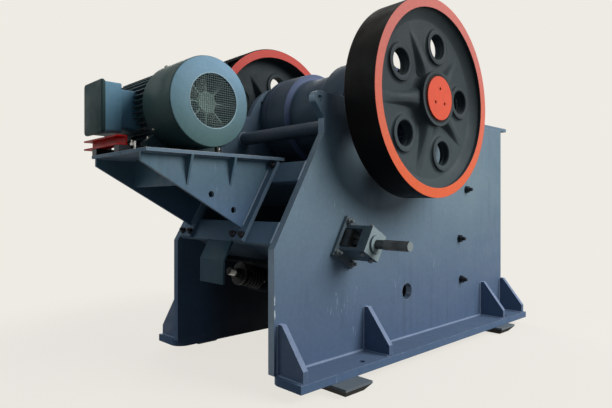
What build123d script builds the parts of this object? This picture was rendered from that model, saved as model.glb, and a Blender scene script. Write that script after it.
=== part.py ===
from build123d import *
import os
from math import acos, atan2, cos, hypot, radians, sin, tan

# A single-toggle jaw crusher with its motor on a bracket at the rear.
# Millimetres, Z up, +X towards the feed and the fixed jaw, near side at -Y.
# The origin is on the floor, under the middle of the eccentric shaft.

# Main frame
pad_height = 70
flange_thickness = 60
chamber_side_gap = 48
plate_thickness = 65
rear_x = -1380
front_x = 2080
bend_z = 1027
rear_lean = 30
neck_z = 1905
neck_height = 113
plate_top_z = 2200
lug_x = -917
lug_z = 2166
lug_radius = 58
lug_hole_radius = 24
arch_x = -82
arch_drop = 150
arch_radius = 510
arch_fillet = 40
arch_hole_radius = 18
arch_hole_reach = 455
arch_hole_angle = 137.4
access_hole_x = 219
access_hole_z = 548
access_hole_radius = 74

# Base
flange_reach = 278
flange_front_overhang = 40
flange_corner_radius = 110
anchor_rear_x = -659
anchor_front_x = 1749
anchor_reach = 193
anchor_radius = 28
gusset_thickness = 45
gusset_height = 365
gusset_foot = 85
gusset_margin = 12
gusset_rear_gap = 31
gusset_middle_x = (-400, 1586)
pad_length = 290
pad_width = 335
pad_rear_overhang = 142
pad_front_overhang = 70
pad_top_thickness = 18
pad_taper = 45
pad_rear_x = -945
pad_front_x = 1530

# Eccentric shaft, main bearings and flywheels
shaft_z = 2220
shaft_radius = 150
eccentric_radius = 190
eccentricity = 15
eccentric_end_gap = 15
running_fit = 0.05
housing_spigot_radius = 290
housing_flange_radius = 335
housing_flange_thickness = 45
housing_boss_radius = 280
housing_boss_length = 60
housing_cover_radius = 245
housing_cover_length = 35
wheel_gap = 160
wheel_width = 295
wheel_radius = 820
rim_depth = 82
web_thickness = 45
web_recess = 88
hub_radius = 228
hub_recess = 20
hub_proud = 16
wheel_hole_count = 5
wheel_hole_radius = 108
wheel_hole_reach = 475
wheel_hole_angle = 5
collar_thickness = 34
collar_height = 22
rib_thickness = 46
rib_recess = 20
rib_reach = 600
cap_radius = 180
cap_thickness = 12
cap_hole_count = 3
cap_hole_radius = 13
cap_hole_reach = 78

# Moving jaw
jaw_lean = 17.5
jaw_face_offset = 440
jaw_bottom = 1990
jaw_top = 60
jaw_slab_thickness = 110
jaw_lip = 8
head_drum_radius = 460
head_waist_radius = 393
head_waist_half_width = 245
head_cover_width = 65
head_groove_width = 10
head_groove_depth = 25
head_side_gap = 40
jaw_rib_thickness = 60
jaw_rib_inset = 50
jaw_rib_top = 250
nose_depth = 150
nose_top = 1540
nose_bottom = 1880

# Jaw plates and chamber
jaw_plate_base = 65
tooth_height = 45
tooth_count = 12
tooth_root_share = 0.12
tooth_crest_share = 0.36
jaw_plate_half_width = 582
fixed_lean = 4.5
fixed_face_x = 1480
fixed_face_top_z = 2160
fixed_plate_length = 1760
front_wall_thickness = 70
front_wall_length = 2000
front_rib_thickness = 45
front_rib_edge_x = 2050
front_rib_y = (-215, 215)
front_rib_z = (330, 900, 1470, 2040)
cap_flange_thickness = 36
cap_flange_front_x = 2216
cheek_thickness = 28

# Thrust box, wedges and toggle
slot_x = -605
slot_z = 1040
slot_width = 210
wedge_height = 150
wedge_fit = 0.5
wedge_tip = 60
wedge_angle = 8
wedge_middle_gap = 180
wedge_overhang = 95
wedge_screw_radius = 36
wedge_screw_end = 610
thrust_wall_thickness = 70
thrust_wall_height = 660
thrust_wall_front = -95
band_width = 180
band_thickness = 40
upper_band_v = 267
lower_band_v = -270
beam_web_thickness = 50
beam_front = 250
beam_height = 250
beam_side_gap = 15
guide_height = 45
guide_width = 70
toggle_thickness = 80
toggle_end_radius = 60
toggle_inset = 70
toggle_length = 881.5
toggle_lean = 27.38
seat_fit = 0.3
toggle_clearance = 46

# Wedge brackets on the side plates
bracket_base_width = 264
bracket_base_height = 347
bracket_base_thickness = 30
bracket_arm_width = 190
bracket_arm_thickness = 28
bracket_arm_length = 170
bracket_block_thickness = 90
bracket_block_height = 220
collar_ring_radius = 72
collar_ring_length = 18

# Pull rod with its spring
rod_radius = 30
rod_pivot_n = -150
rod_pivot_h = -1930
rod_rise = 15.8
rod_eye_radius = 62
rod_eye_half_width = 45
rod_pin_radius = 32
rod_ear_thickness = 40
rod_pin_fit = 0.3
rod_nut_radius = 48
rod_nut_length = 45
rod_washer_radius = 96
rod_washer_thickness = 22
rod_thread_end = 62
spring_radius = 80
spring_wire_radius = 13
spring_turns = 5
spring_length = 200
spring_gap = 26
rod_bracket_thickness = 40
rod_bracket_half_width = 160
rod_bracket_below = 105
rod_bracket_hole = 66
guard_half_width = 160
guard_thickness = 20
guard_gap = 149
guard_bend_z = 913
guard_end_z = 725

# Cross tube
tube_x = -641
tube_z = 1990
tube_radius = 62
tube_wall = 12

# Motor bracket and motor
bracket_rear_x = -2162
bracket_lip = 62
bracket_tip_z = 1166
bracket_plate_thickness = 25
bracket_near_reach = 336
bracket_far_reach = 405
bracket_hole_radius = 24
bracket_holes = ((426, 1422), (158, 1304))
bracket_rib_thickness = 20
bracket_rib_x = (-1821, -1449)
cross_plate_x = -1821
cross_plate_low_z = 1485
foot_thickness = 30
foot_half_width = 82
motor_plate_z = 1700
motor_plate_thickness = 25
motor_plate_front_x = -961
motor_plate_near_margin = 72
motor_plate_far_margin = 65
rail_height = 50
rail_width = 80
rail_rear_x = -2160
rail_front_x = -1246
rail_reach = (50, 450)
motor_x = -1656
motor_height = 315
motor_drive_gap = 95
motor_body_length = 680
motor_body_radius = 270
motor_fin_height = 38
motor_fin_thickness = 9
motor_fin_count = 44
motor_shield_length = 45
motor_shield_radius = 270
motor_foot_span = 300
motor_foot_thickness = 36
motor_foot_length = 90
motor_shaft_radius = 45
cowl_radius = 330
cowl_wall = 6
cowl_length = 402
cowl_cone = 25
cowl_lap = 20
grille_radius = 205
grille_bar = 7
grille_spokes = 12
grille_rings = (48, 100, 152)
fan_radius = 255
fan_hub_radius = 80
fan_width = 130
fan_blades = 8
fan_blade_thickness = 12
fan_gap = 60
box_reach = 343
box_width = 343
box_height = 398
box_z = 2071
box_outer_x = -2216
box_lid = 28
box_lid_margin = 12
box_depth = 128
box_neck_width = 240
box_neck_height = 300
adjuster_rear_x = -2165
adjuster_width = 80
adjuster_height = 75
adjuster_wall = 12
adjuster_reach = 35
adjuster_length = 610

# Belt drive
pulley_radius = 210
pulley_rim = 48
pulley_hub_radius = 85
pulley_hub_gap = 20
pulley_web = 40
belt_count = 8
belt_pitch = 34
belt_top = 24
belt_bottom = 13
belt_rib_depth = 17
belt_band = 7
belt_fit = 0.4
belt_stand = 2

# Places that follow from the sizes
plate_inner_y = jaw_plate_half_width + chamber_side_gap
plate_outer_y = plate_inner_y + plate_thickness
flange_top_z = pad_height + flange_thickness
rear_slope = tan(radians(rear_lean))
neck_x = rear_x + rear_slope * (neck_z - bend_z)
arch_z = shaft_z - arch_drop
wheel_inner_y = plate_outer_y + wheel_gap
wheel_outer_y = wheel_inner_y + wheel_width
web_outer_y = wheel_outer_y - web_recess
web_inner_y = web_outer_y - web_thickness
hub_inner_y = wheel_inner_y + hub_recess
hub_outer_y = wheel_outer_y + hub_proud
rib_outer_y = wheel_outer_y - rib_recess
eccentric_z = shaft_z - eccentricity
jaw_half_width = jaw_plate_half_width + jaw_lip
jaw_head_half_width = plate_inner_y - head_side_gap
jaw_plate_thickness = jaw_plate_base + tooth_height
rear_face_u = (rear_x - slot_x) * cos(radians(rear_lean)) - (bend_z - slot_z) * sin(radians(rear_lean))
thrust_wall_back = thrust_wall_front - thrust_wall_thickness
thrust_wall_middle = (thrust_wall_front + thrust_wall_back) / 2
toggle_half_width = jaw_half_width - toggle_inset
toggle_seat_x = slot_x + beam_front * cos(radians(rear_lean))
toggle_seat_z = slot_z - beam_front * sin(radians(rear_lean))
toggle_tip_x = toggle_seat_x + toggle_length * cos(radians(toggle_lean))
toggle_tip_z = toggle_seat_z - toggle_length * sin(radians(toggle_lean))
motor_plate_top_z = motor_plate_z + motor_plate_thickness
rail_top_z = motor_plate_top_z + rail_height
motor_z = rail_top_z + motor_height
motor_body_end_y = wheel_inner_y - motor_drive_gap
motor_body_start_y = motor_body_end_y - motor_body_length
cowl_front_y = motor_body_start_y - cowl_length
fan_start_y = cowl_front_y + cowl_wall + fan_gap
fan_end_y = fan_start_y + fan_width
box_y = motor_body_start_y + box_reach
rail_y = [motor_body_start_y + reach for reach in rail_reach]
bracket_near_y = motor_body_start_y - bracket_near_reach
bracket_far_y = motor_body_start_y + bracket_far_reach
belt_middle_y = wheel_inner_y + wheel_width / 2


def prism(outline, y_low, y_high, x=0, z=0, lean=0):
    """Extrude an outline along Y; its axes point forward and up, turned nose-down by lean about (x, z)."""
    forward = (cos(radians(lean)), 0, -sin(radians(lean)))
    plane = Plane(origin=(x, y_high, z), x_dir=forward, z_dir=(0, -1, 0))
    return extrude(plane * outline, amount=y_high - y_low)


def turned(profile, x, z):
    """Revolve a profile of (radius, y) about the line along Y through (x, z)."""
    plane = Plane(origin=(x, 0, z), x_dir=(1, 0, 0), z_dir=(0, 0, 1))
    return revolve(plane * profile, axis=Axis((x, 0, z), (0, 1, 0)))


def face(*points):
    """A flat face with straight edges through the points."""
    return make_face(Polyline(*points, close=True))


def block(low, high):
    """A rectangle given by two opposite corners."""
    middle = ((low[0] + high[0]) / 2, (low[1] + high[1]) / 2)
    return Pos(*middle) * Rectangle(high[0] - low[0], high[1] - low[1])


def round_bar(x, z, radius, y_low, y_high):
    """A cylinder along Y."""
    return prism(Pos(x, z) * Circle(radius), y_low, y_high)


def far(piece):
    """The same piece on the other side of the middle plane."""
    return mirror(piece, about=Plane.XZ)


def group(pieces):
    """Several loose solids as one shape."""
    return Compound([solid for piece in pieces for solid in piece.solids()])


def thrust_prism(outline, y_low, y_high):
    """A prism whose axes run along the thrust line and along the slanted rear face."""
    return prism(outline, y_low, y_high, slot_x, slot_z, rear_lean)


def jaw_prism(outline, y_low, y_high):
    """A prism whose axes run square to the moving jaw's face and up along it."""
    return prism(outline, y_low, y_high, 0, eccentric_z, -jaw_lean)


def fixed_prism(outline, y_low, y_high):
    """A prism whose axes run square to the fixed jaw's face and up along it."""
    return prism(outline, y_low, y_high, fixed_face_x, fixed_face_top_z, fixed_lean)


def jaw_point(n, h):
    """The (x, z) of a point given square to and along the moving jaw's face."""
    lean = radians(jaw_lean)
    return n * cos(lean) - h * sin(lean), eccentric_z + n * sin(lean) + h * cos(lean)


def thrust_point(u, v):
    """The (x, z) of a point given along the thrust line and along the slanted rear face."""
    lean = radians(rear_lean)
    return slot_x + u * cos(lean) + v * sin(lean), slot_z - u * sin(lean) + v * cos(lean)


def near_side_plate():
    """Side plate with its slanted rear edge, lifting lug, bearing arch and openings."""
    body = face(
        (rear_x, flange_top_z),
        (front_x, flange_top_z),
        (front_x, plate_top_z),
        (0, plate_top_z),
        (lug_x, lug_z + lug_radius),
        (neck_x, lug_z),
        (neck_x, neck_z),
        (rear_x, bend_z),
    )
    lug_edge = (Pos(lug_x, lug_z) * Circle(lug_radius)).edges()[0]
    neck_edge = Line((neck_x, neck_z + neck_height), (neck_x + lug_radius, neck_z + neck_height))
    outline = body + make_hull([lug_edge, neck_edge]) + Pos(arch_x, arch_z) * Circle(arch_radius)
    feet = [arch_x - arch_radius, arch_x + arch_radius]
    corners = [outline.vertices().sort_by_distance((x, plate_top_z, 0))[0] for x in feet]
    outline = fillet(corners, arch_fillet)
    outline -= Pos(lug_x, lug_z) * Circle(lug_hole_radius)
    arch_hole_x = arch_x + arch_hole_reach * cos(radians(arch_hole_angle))
    arch_hole_z = arch_z + arch_hole_reach * sin(radians(arch_hole_angle))
    outline -= Pos(arch_hole_x, arch_hole_z) * Circle(arch_hole_radius)
    outline -= Pos(access_hole_x, access_hole_z) * Circle(access_hole_radius)
    outline -= Pos(0, shaft_z) * Circle(housing_spigot_radius)
    slot = Rectangle(slot_width, wedge_height + 2 * wedge_fit)
    outline -= Pos(slot_x, slot_z) * Rot(0, 0, -rear_lean) * slot
    return prism(outline, -plate_outer_y, -plate_inner_y)


def near_base_flange():
    """Flat foot along the side plate, with a round inner corner at the rear and the anchor holes."""
    front = front_x + flange_front_overhang
    outline = block((rear_x, -plate_outer_y - flange_reach), (front, -plate_inner_y))
    corner = outline.vertices().sort_by_distance((rear_x, -plate_inner_y, 0))[0]
    outline = fillet([corner], flange_corner_radius)
    for x in (anchor_rear_x, anchor_front_x):
        outline -= Pos(x, -plate_outer_y - anchor_reach) * Circle(anchor_radius)
    return extrude(Plane.XY.offset(pad_height) * outline, amount=flange_thickness)


def near_gussets():
    """Four stiffening plates between the side plate and its foot."""
    foot_y = -plate_outer_y - flange_reach + gusset_margin
    outline = face(
        (-plate_outer_y, flange_top_z),
        (foot_y, flange_top_z),
        (foot_y, flange_top_z + gusset_foot),
        (-plate_outer_y - gusset_thickness, flange_top_z + gusset_height),
        (-plate_outer_y, flange_top_z + gusset_height),
    )
    starts = (rear_x + gusset_rear_gap, *gusset_middle_x, front_x - gusset_thickness)
    planes = [Plane(origin=(x, 0, 0), x_dir=(0, 1, 0), z_dir=(1, 0, 0)) for x in starts]
    return group([extrude(plane * outline, amount=gusset_thickness) for plane in planes])


def machine_pads():
    """Four pads under the feet, each a steel plate on a tapered block."""
    pads = []
    for x, overhang in ((pad_rear_x, pad_rear_overhang), (pad_front_x, pad_front_overhang)):
        for side in (-1, 1):
            y = side * (plate_outer_y + flange_reach + overhang - pad_width / 2)
            top_z = pad_height - pad_top_thickness / 2
            top = Pos(x, y, top_z) * Box(pad_length, pad_width, pad_top_thickness)
            foot = Rectangle(pad_length - 2 * pad_taper, pad_width - 2 * pad_taper)
            head = Rectangle(pad_length, pad_width)
            low = Plane(origin=(x, y, 0))
            high = Plane(origin=(x, y, pad_height - pad_top_thickness))
            pads.append(top + loft([low * foot, high * head]))
    return group(pads)


def front_wall():
    """Leaning wall that carries the fixed jaw plate."""
    wall_front = jaw_plate_thickness + front_wall_thickness
    outline = block((jaw_plate_thickness, -front_wall_length), (wall_front, 0))
    wall = fixed_prism(outline, -plate_inner_y, plate_inner_y)
    return wall & prism(block((rear_x, flange_top_z), (front_x, plate_top_z)), -plate_inner_y, plate_inner_y)


def front_wall_x(z):
    """Where the front of the front wall lies at a height."""
    lean = radians(fixed_lean)
    depth = jaw_plate_thickness + front_wall_thickness
    return fixed_face_x + depth / cos(lean) - (fixed_face_top_z - z) * tan(lean)


def front_wall_ribs():
    """Grid of level and upright ribs on the front of the front wall."""
    low_z = front_rib_z[0]
    high_z = front_rib_z[-1] + front_rib_thickness
    grid = []
    for z in front_rib_z:
        top = z + front_rib_thickness
        outline = face(
            (front_wall_x(z), z),
            (front_rib_edge_x, z),
            (front_rib_edge_x, top),
            (front_wall_x(top), top),
        )
        grid.append(prism(outline, -plate_inner_y, plate_inner_y))
    upright = face(
        (front_wall_x(low_z), low_z),
        (front_rib_edge_x, low_z),
        (front_rib_edge_x, high_z),
        (front_wall_x(high_z), high_z),
    )
    for y in front_rib_y:
        grid.append(prism(upright, y - front_rib_thickness / 2, y + front_rib_thickness / 2))
    return grid[0] + grid[1:]


def front_cap_flange():
    """Flat flange on top of the front end, where a hopper stands."""
    rear = fixed_face_x + jaw_plate_thickness
    outline = block((rear, plate_top_z), (cap_flange_front_x, plate_top_z + cap_flange_thickness))
    return prism(outline, -plate_outer_y, plate_outer_y)


def toothed_plate(plane, length, side, shift):
    """Wear plate with straight trapezoid teeth; side says which way they point, shift moves them by teeth."""
    pitch = 2 * jaw_plate_half_width / tooth_count
    root = side * jaw_plate_base
    crest = side * (jaw_plate_base + tooth_height)
    points = [(-jaw_plate_half_width, 0), (-jaw_plate_half_width, root)]
    for tooth in range(tooth_count - int(2 * shift)):
        start = -jaw_plate_half_width + (tooth + shift) * pitch
        end = start + pitch
        points.append((start + tooth_root_share * pitch, root))
        points.append((start + tooth_crest_share * pitch, crest))
        points.append((end - tooth_crest_share * pitch, crest))
        points.append((end - tooth_root_share * pitch, root))
    points += [(jaw_plate_half_width, root), (jaw_plate_half_width, 0)]
    return extrude(plane * face(*points), amount=length)


def fixed_jaw_plate():
    """Toothed wear plate on the front wall."""
    lean = radians(fixed_lean)
    up = (sin(lean), 0, cos(lean))
    x = fixed_face_x + jaw_plate_thickness * cos(lean) - fixed_plate_length * up[0]
    z = fixed_face_top_z - jaw_plate_thickness * sin(lean) - fixed_plate_length * up[2]
    return toothed_plate(Plane(origin=(x, 0, z), x_dir=(0, 1, 0), z_dir=up), fixed_plate_length, 1, 0.5)


def moving_jaw_plate():
    """Toothed wear plate on the moving jaw's face."""
    lean = radians(jaw_lean)
    x, z = jaw_point(jaw_face_offset, -jaw_bottom)
    plane = Plane(origin=(x, 0, z), x_dir=(0, 1, 0), z_dir=(-sin(lean), 0, cos(lean)))
    return toothed_plate(plane, jaw_bottom + jaw_top, -1, 0)


def near_cheek_plate():
    """Flat liner on the inside of the side plate, between the two jaws."""
    moving_top = jaw_point(jaw_face_offset + jaw_plate_thickness, 0)
    moving_low = jaw_point(jaw_face_offset + jaw_plate_thickness, -jaw_bottom)
    slope = (moving_low[0] - moving_top[0]) / (moving_top[1] - moving_low[1])
    top_z = fixed_face_top_z
    low_z = fixed_face_top_z - fixed_plate_length
    fixed_low = fixed_face_x - fixed_plate_length * sin(radians(fixed_lean))
    outline = face(
        (moving_top[0] + slope * (moving_top[1] - top_z), top_z),
        (moving_top[0] + slope * (moving_top[1] - low_z), low_z),
        (fixed_low, low_z),
        (fixed_face_x, top_z),
    )
    return prism(outline, -plate_inner_y, -plate_inner_y + cheek_thickness)


def far_bearing_housing():
    """Main bearing housing: a spigot in the plate, a flange on it, a boss and a cover round the shaft."""
    flange_end = plate_outer_y + housing_flange_thickness
    boss_end = flange_end + housing_boss_length
    bore = shaft_radius + running_fit
    profile = block((bore, plate_inner_y), (housing_spigot_radius, plate_outer_y))
    profile += block((bore, plate_outer_y), (housing_flange_radius, flange_end))
    profile += block((bore, flange_end), (housing_boss_radius, boss_end))
    profile += block((bore, boss_end), (housing_cover_radius, boss_end + housing_cover_length))
    return turned(profile, 0, shaft_z)


def eccentric_shaft():
    """Shaft through both wheels, with the thick eccentric that carries the moving jaw."""
    middle = plate_inner_y - eccentric_end_gap
    shaft = round_bar(0, shaft_z, shaft_radius, -hub_outer_y, hub_outer_y)
    return shaft + round_bar(0, eccentric_z, eccentric_radius, -middle, middle)


def groove(radius, y):
    """Profile of one V-groove in a rim, a little wider and deeper than the belt's rib."""
    half_top = belt_top / 2 + belt_fit
    half_bottom = belt_bottom / 2 + belt_fit
    top = radius + belt_stand
    bottom = top - belt_rib_depth - belt_fit
    return face(
        (top, y - half_top),
        (top, y + half_top),
        (bottom, y + half_bottom),
        (bottom, y - half_bottom),
    )


def belt_lines():
    """Middle of each belt along Y."""
    first = belt_middle_y - (belt_count - 1) / 2 * belt_pitch
    return [first + number * belt_pitch for number in range(belt_count)]


def far_wheel(grooved):
    """Flywheel with a heavy rim, a web with collared holes, tapered ribs and a hub."""
    profile = block((wheel_radius - rim_depth, wheel_inner_y), (wheel_radius, wheel_outer_y))
    profile += block((hub_radius, web_inner_y), (wheel_radius - rim_depth, web_outer_y))
    profile += block((shaft_radius, hub_inner_y), (hub_radius, hub_outer_y))
    if grooved:
        for y in belt_lines():
            profile -= groove(wheel_radius, y)
    wheel = turned(profile, 0, shaft_z)
    step = 360 / wheel_hole_count
    for number in range(wheel_hole_count):
        angle = radians(wheel_hole_angle + number * step)
        x = wheel_hole_reach * cos(angle)
        z = shaft_z + wheel_hole_reach * sin(angle)
        collar_radius = wheel_hole_radius + collar_thickness
        wheel += round_bar(x, z, collar_radius, web_inner_y - collar_height, web_outer_y + collar_height)
        wheel -= round_bar(x, z, wheel_hole_radius, wheel_inner_y, wheel_outer_y)
        wheel += wheel_rib(wheel_hole_angle + (number + 0.5) * step)
    return wheel


def wheel_rib(angle):
    """Radial rib through the web, deep at the hub and running out towards the rim."""
    turn = radians(angle)
    plane = Plane(origin=(0, 0, shaft_z), x_dir=(cos(turn), 0, sin(turn)), z_dir=(-sin(turn), 0, cos(turn)))
    root = hub_radius - rib_thickness / 2
    outline = face(
        (root, hub_inner_y),
        (root, rib_outer_y),
        (hub_radius, rib_outer_y),
        (rib_reach, web_outer_y),
        (rib_reach, web_inner_y),
        (hub_radius, hub_inner_y),
    )
    return extrude(plane * outline, amount=rib_thickness / 2, both=True)


def far_hub_cap():
    """Round cap on the shaft end, with its ring of tapped holes, one of them at the top."""
    outline = Circle(cap_radius)
    for number in range(cap_hole_count):
        turn = 90 + number * 360 / cap_hole_count
        outline -= Rot(0, 0, turn) * Pos(cap_hole_reach, 0) * Circle(cap_hole_radius)
    return prism(Pos(0, shaft_z) * outline, hub_outer_y, hub_outer_y + cap_thickness)


def moving_jaw():
    """Swing jaw casting: bored head with two bearing drums, face slab, back ribs and the toggle nose."""
    half = jaw_head_half_width
    bore = eccentric_radius + running_fit
    groove_high = half - head_cover_width
    groove_low = groove_high - head_groove_width
    groove_root = head_drum_radius - head_groove_depth
    profile = block((bore, -half), (head_drum_radius, half))
    profile -= block((head_waist_radius, -head_waist_half_width), (head_drum_radius, head_waist_half_width))
    profile -= block((groove_root, groove_low), (head_drum_radius, groove_high))
    profile -= block((groove_root, -groove_high), (head_drum_radius, -groove_low))
    head_front = block((jaw_face_offset, -head_drum_radius), (2 * head_drum_radius, head_drum_radius))
    slab_back = jaw_face_offset - jaw_slab_thickness
    slab = block((slab_back, -jaw_bottom), (jaw_face_offset, jaw_top))
    rib = face(
        (0, 0),
        (slab_back, 0),
        (slab_back, -jaw_bottom),
        (0, -jaw_bottom + nose_depth),
        (0, -jaw_rib_top),
    )
    nose = face(
        (slab_back, -nose_top + nose_depth),
        (0, -nose_top + nose_depth),
        (-nose_depth, -nose_top),
        (-nose_depth, -nose_bottom),
        (slab_back, -nose_bottom),
    )
    casting = turned(profile, 0, eccentric_z) - jaw_prism(head_front, -half, half)
    casting += jaw_prism(slab, -jaw_half_width, jaw_half_width)
    casting += jaw_prism(nose, -toggle_half_width, toggle_half_width)
    outer_rib = jaw_half_width - jaw_rib_inset
    for y in (-outer_rib, -outer_rib / 3, outer_rib / 3, outer_rib):
        casting += jaw_prism(rib, y - jaw_rib_thickness / 2, y + jaw_rib_thickness / 2)
    ear_edge = (Pos(rod_pivot_n, rod_pivot_h) * Circle(rod_eye_radius)).edges()[0]
    root_edge = Line((-nose_depth, -nose_bottom), (slab_back / 2, -nose_bottom))
    ear = make_hull([ear_edge, root_edge])
    for side in (-1, 1):
        inner = side * rod_eye_half_width
        outer = side * (rod_eye_half_width + rod_ear_thickness)
        casting += jaw_prism(ear, min(inner, outer), max(inner, outer))
    casting -= round_bar(0, eccentric_z, bore, -half, half)
    casting -= round_bar(toggle_tip_x, toggle_tip_z, toggle_end_radius + toggle_clearance, -half, half)
    pivot_x, pivot_z = jaw_point(rod_pivot_n, rod_pivot_h)
    pin_reach = rod_eye_half_width + rod_ear_thickness
    eye_room = rod_eye_radius + rod_pin_fit
    casting -= round_bar(pivot_x, pivot_z, eye_room, -rod_eye_half_width, rod_eye_half_width)
    casting -= round_bar(pivot_x, pivot_z, rod_pin_radius + rod_pin_fit, -pin_reach, pin_reach)
    return casting


def rod_plane(distance):
    """Plane square to the pull rod, at a distance behind its front pivot; its y axis points up."""
    rise = radians(rod_rise)
    back = (-cos(rise), 0, sin(rise))
    pivot_x, pivot_z = jaw_point(rod_pivot_n, rod_pivot_h)
    origin = (pivot_x + distance * back[0], 0, pivot_z + distance * back[2])
    return Plane(origin=origin, x_dir=(0, -1, 0), z_dir=back)


def rod_piece(start, length, radius, bore=0):
    """A round piece along the pull rod."""
    outline = Circle(radius)
    if bore:
        outline -= Circle(bore)
    return extrude(rod_plane(start) * outline, amount=length)


def rod_reach(x, z):
    """How far behind the pull rod's front pivot a point lies, measured along the rod."""
    rise = radians(rod_rise)
    pivot_x, pivot_z = jaw_point(rod_pivot_n, rod_pivot_h)
    return (pivot_x - x) * cos(rise) + (z - pivot_z) * sin(rise)


rod_bracket_middle = rod_reach(*thrust_point(thrust_wall_middle, -thrust_wall_height / 2))
spring_start = rod_bracket_middle + rod_bracket_thickness / 2
rod_washer_start = spring_start + spring_length + spring_gap
rod_length = rod_washer_start + rod_washer_thickness + rod_nut_length + rod_thread_end


def pull_rod():
    """Rod that holds the jaw against the toggle, with its eye, pin, spring washer and nut."""
    pivot_x, pivot_z = jaw_point(rod_pivot_n, rod_pivot_h)
    pin_reach = rod_eye_half_width + rod_ear_thickness
    rod = rod_piece(0, rod_length, rod_radius)
    rod += round_bar(pivot_x, pivot_z, rod_eye_radius, -rod_eye_half_width, rod_eye_half_width)
    rod += round_bar(pivot_x, pivot_z, rod_pin_radius, -pin_reach, pin_reach)
    rod += rod_piece(rod_washer_start, rod_washer_thickness, rod_washer_radius)
    nut = RegularPolygon(rod_nut_radius, 6)
    rod += extrude(rod_plane(rod_washer_start + rod_washer_thickness) * nut, amount=rod_nut_length)
    return rod


def pull_rod_spring():
    """Coil spring round the pull rod, behind its bracket."""
    pitch = (spring_length - 2 * spring_wire_radius) / spring_turns
    plane = rod_plane(spring_start + spring_wire_radius)
    coil = plane.location * Helix(pitch, spring_turns * pitch, spring_radius)
    section = Plane(origin=coil @ 0, z_dir=coil % 0) * Circle(spring_wire_radius)
    return sweep(section, path=coil)


def pull_rod_bracket():
    """Plate under the thrust wall that the spring pushes against, with a wide hole for the rod."""
    rise = radians(rod_rise)
    lean = radians(rear_lean)
    pivot_x, pivot_z = jaw_point(rod_pivot_n, rod_pivot_h)
    front = spring_start - rod_bracket_thickness
    corners = []
    for distance in (front, spring_start):
        x = pivot_x - distance * cos(rise)
        z = pivot_z + distance * sin(rise)
        corners.append((x - rod_bracket_below * sin(rise), z - rod_bracket_below * cos(rise)))
    wall_x, wall_z = thrust_point(0, -thrust_wall_height / 2)
    tops = []
    for x, z in corners:
        reach = ((wall_z - z) - (x - wall_x) * tan(lean)) / (cos(rise) + sin(rise) * tan(lean))
        tops.append((x + reach * sin(rise), z + reach * cos(rise)))
    outline = face(corners[0], corners[1], tops[1], tops[0])
    plate = prism(outline, -rod_bracket_half_width, rod_bracket_half_width)
    return plate - rod_piece(front - rod_bracket_thickness, 3 * rod_bracket_thickness, rod_bracket_hole)


def pull_rod_guard():
    """Bent strap below the lower rear beam, behind the end of the pull rod."""
    lean = radians(rear_lean)
    top_x, top_z = thrust_point(rear_face_u, lower_band_v - band_width / 2)
    leg_x = rod_plane(rod_length).origin.X - guard_gap
    bend_x = leg_x - guard_thickness
    slant = atan2(top_x - bend_x, top_z - guard_bend_z)
    top_width = guard_thickness / cos(slant - lean)
    outline = face(
        (top_x, top_z),
        (bend_x, guard_bend_z),
        (bend_x, guard_end_z),
        (leg_x, guard_end_z),
        (leg_x, guard_bend_z - guard_thickness * tan(slant / 2)),
        (top_x + top_width * cos(lean), top_z - top_width * sin(lean)),
    )
    return prism(outline, -guard_half_width, guard_half_width)


def rear_beam(v):
    """Rear cross beam: an outer band flush with the side plates and a web to the thrust wall."""
    band_inner = rear_face_u + band_thickness
    outline = block((rear_face_u, v - band_width / 2), (band_inner, v + band_width / 2))
    outline += block((band_inner, v - beam_web_thickness / 2), (thrust_wall_back, v + beam_web_thickness / 2))
    return thrust_prism(outline, -plate_inner_y, plate_inner_y)


def thrust_wall():
    """Thick wall across the frame that takes the crushing force behind the wedges."""
    half = thrust_wall_height / 2
    outline = block((thrust_wall_back, -half), (thrust_wall_front, half))
    return thrust_prism(outline, -plate_inner_y, plate_inner_y)


def wedge_front(y):
    """How far the wedge's sloping face lies along the thrust line, at a distance from the middle."""
    return thrust_wall_front + wedge_tip + (y - wedge_middle_gap) * tan(radians(wedge_angle))


def slope_prism(points, half_height):
    """A block drawn along the thrust line and Y, with an even height along the slanted rear face."""
    lean = radians(rear_lean)
    along = (cos(lean), 0, -sin(lean))
    up = (sin(lean), 0, cos(lean))
    plane = Plane(origin=(slot_x, 0, slot_z), x_dir=along, z_dir=up)
    return extrude(plane * face(*points), amount=half_height, both=True)


def near_wedge():
    """Adjusting wedge with its screw, pushed in from the side plate."""
    outer = plate_outer_y + wedge_overhang
    points = [
        (thrust_wall_front, -wedge_middle_gap),
        (wedge_front(wedge_middle_gap), -wedge_middle_gap),
        (wedge_front(outer), -outer),
        (thrust_wall_front, -outer),
    ]
    wedge = slope_prism(points, wedge_height / 2)
    return wedge + round_bar(slot_x, slot_z, wedge_screw_radius, -plate_outer_y - wedge_screw_end, -outer)


def toggle_beam():
    """Cross beam with two sloping back faces for the wedges and a round seat for the toggle."""
    half = plate_inner_y - beam_side_gap
    points = [
        (beam_front, -half),
        (beam_front, half),
        (wedge_front(half) + wedge_fit, half),
        (wedge_front(wedge_middle_gap) + wedge_fit, wedge_middle_gap),
        (wedge_front(wedge_middle_gap) + wedge_fit, -wedge_middle_gap),
        (wedge_front(half) + wedge_fit, -half),
    ]
    beam = slope_prism(points, beam_height / 2)
    return beam - round_bar(toggle_seat_x, toggle_seat_z, toggle_end_radius + seat_fit, -half, half)


def beam_guides():
    """Ledges on the side plates that the toggle beam slides on."""
    top = -beam_height / 2 - seat_fit
    outline = block((thrust_wall_front, top - guide_height), (beam_front, top))
    ledge = thrust_prism(outline, -plate_inner_y, -plate_inner_y + guide_width)
    return group([ledge, far(ledge)])


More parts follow.
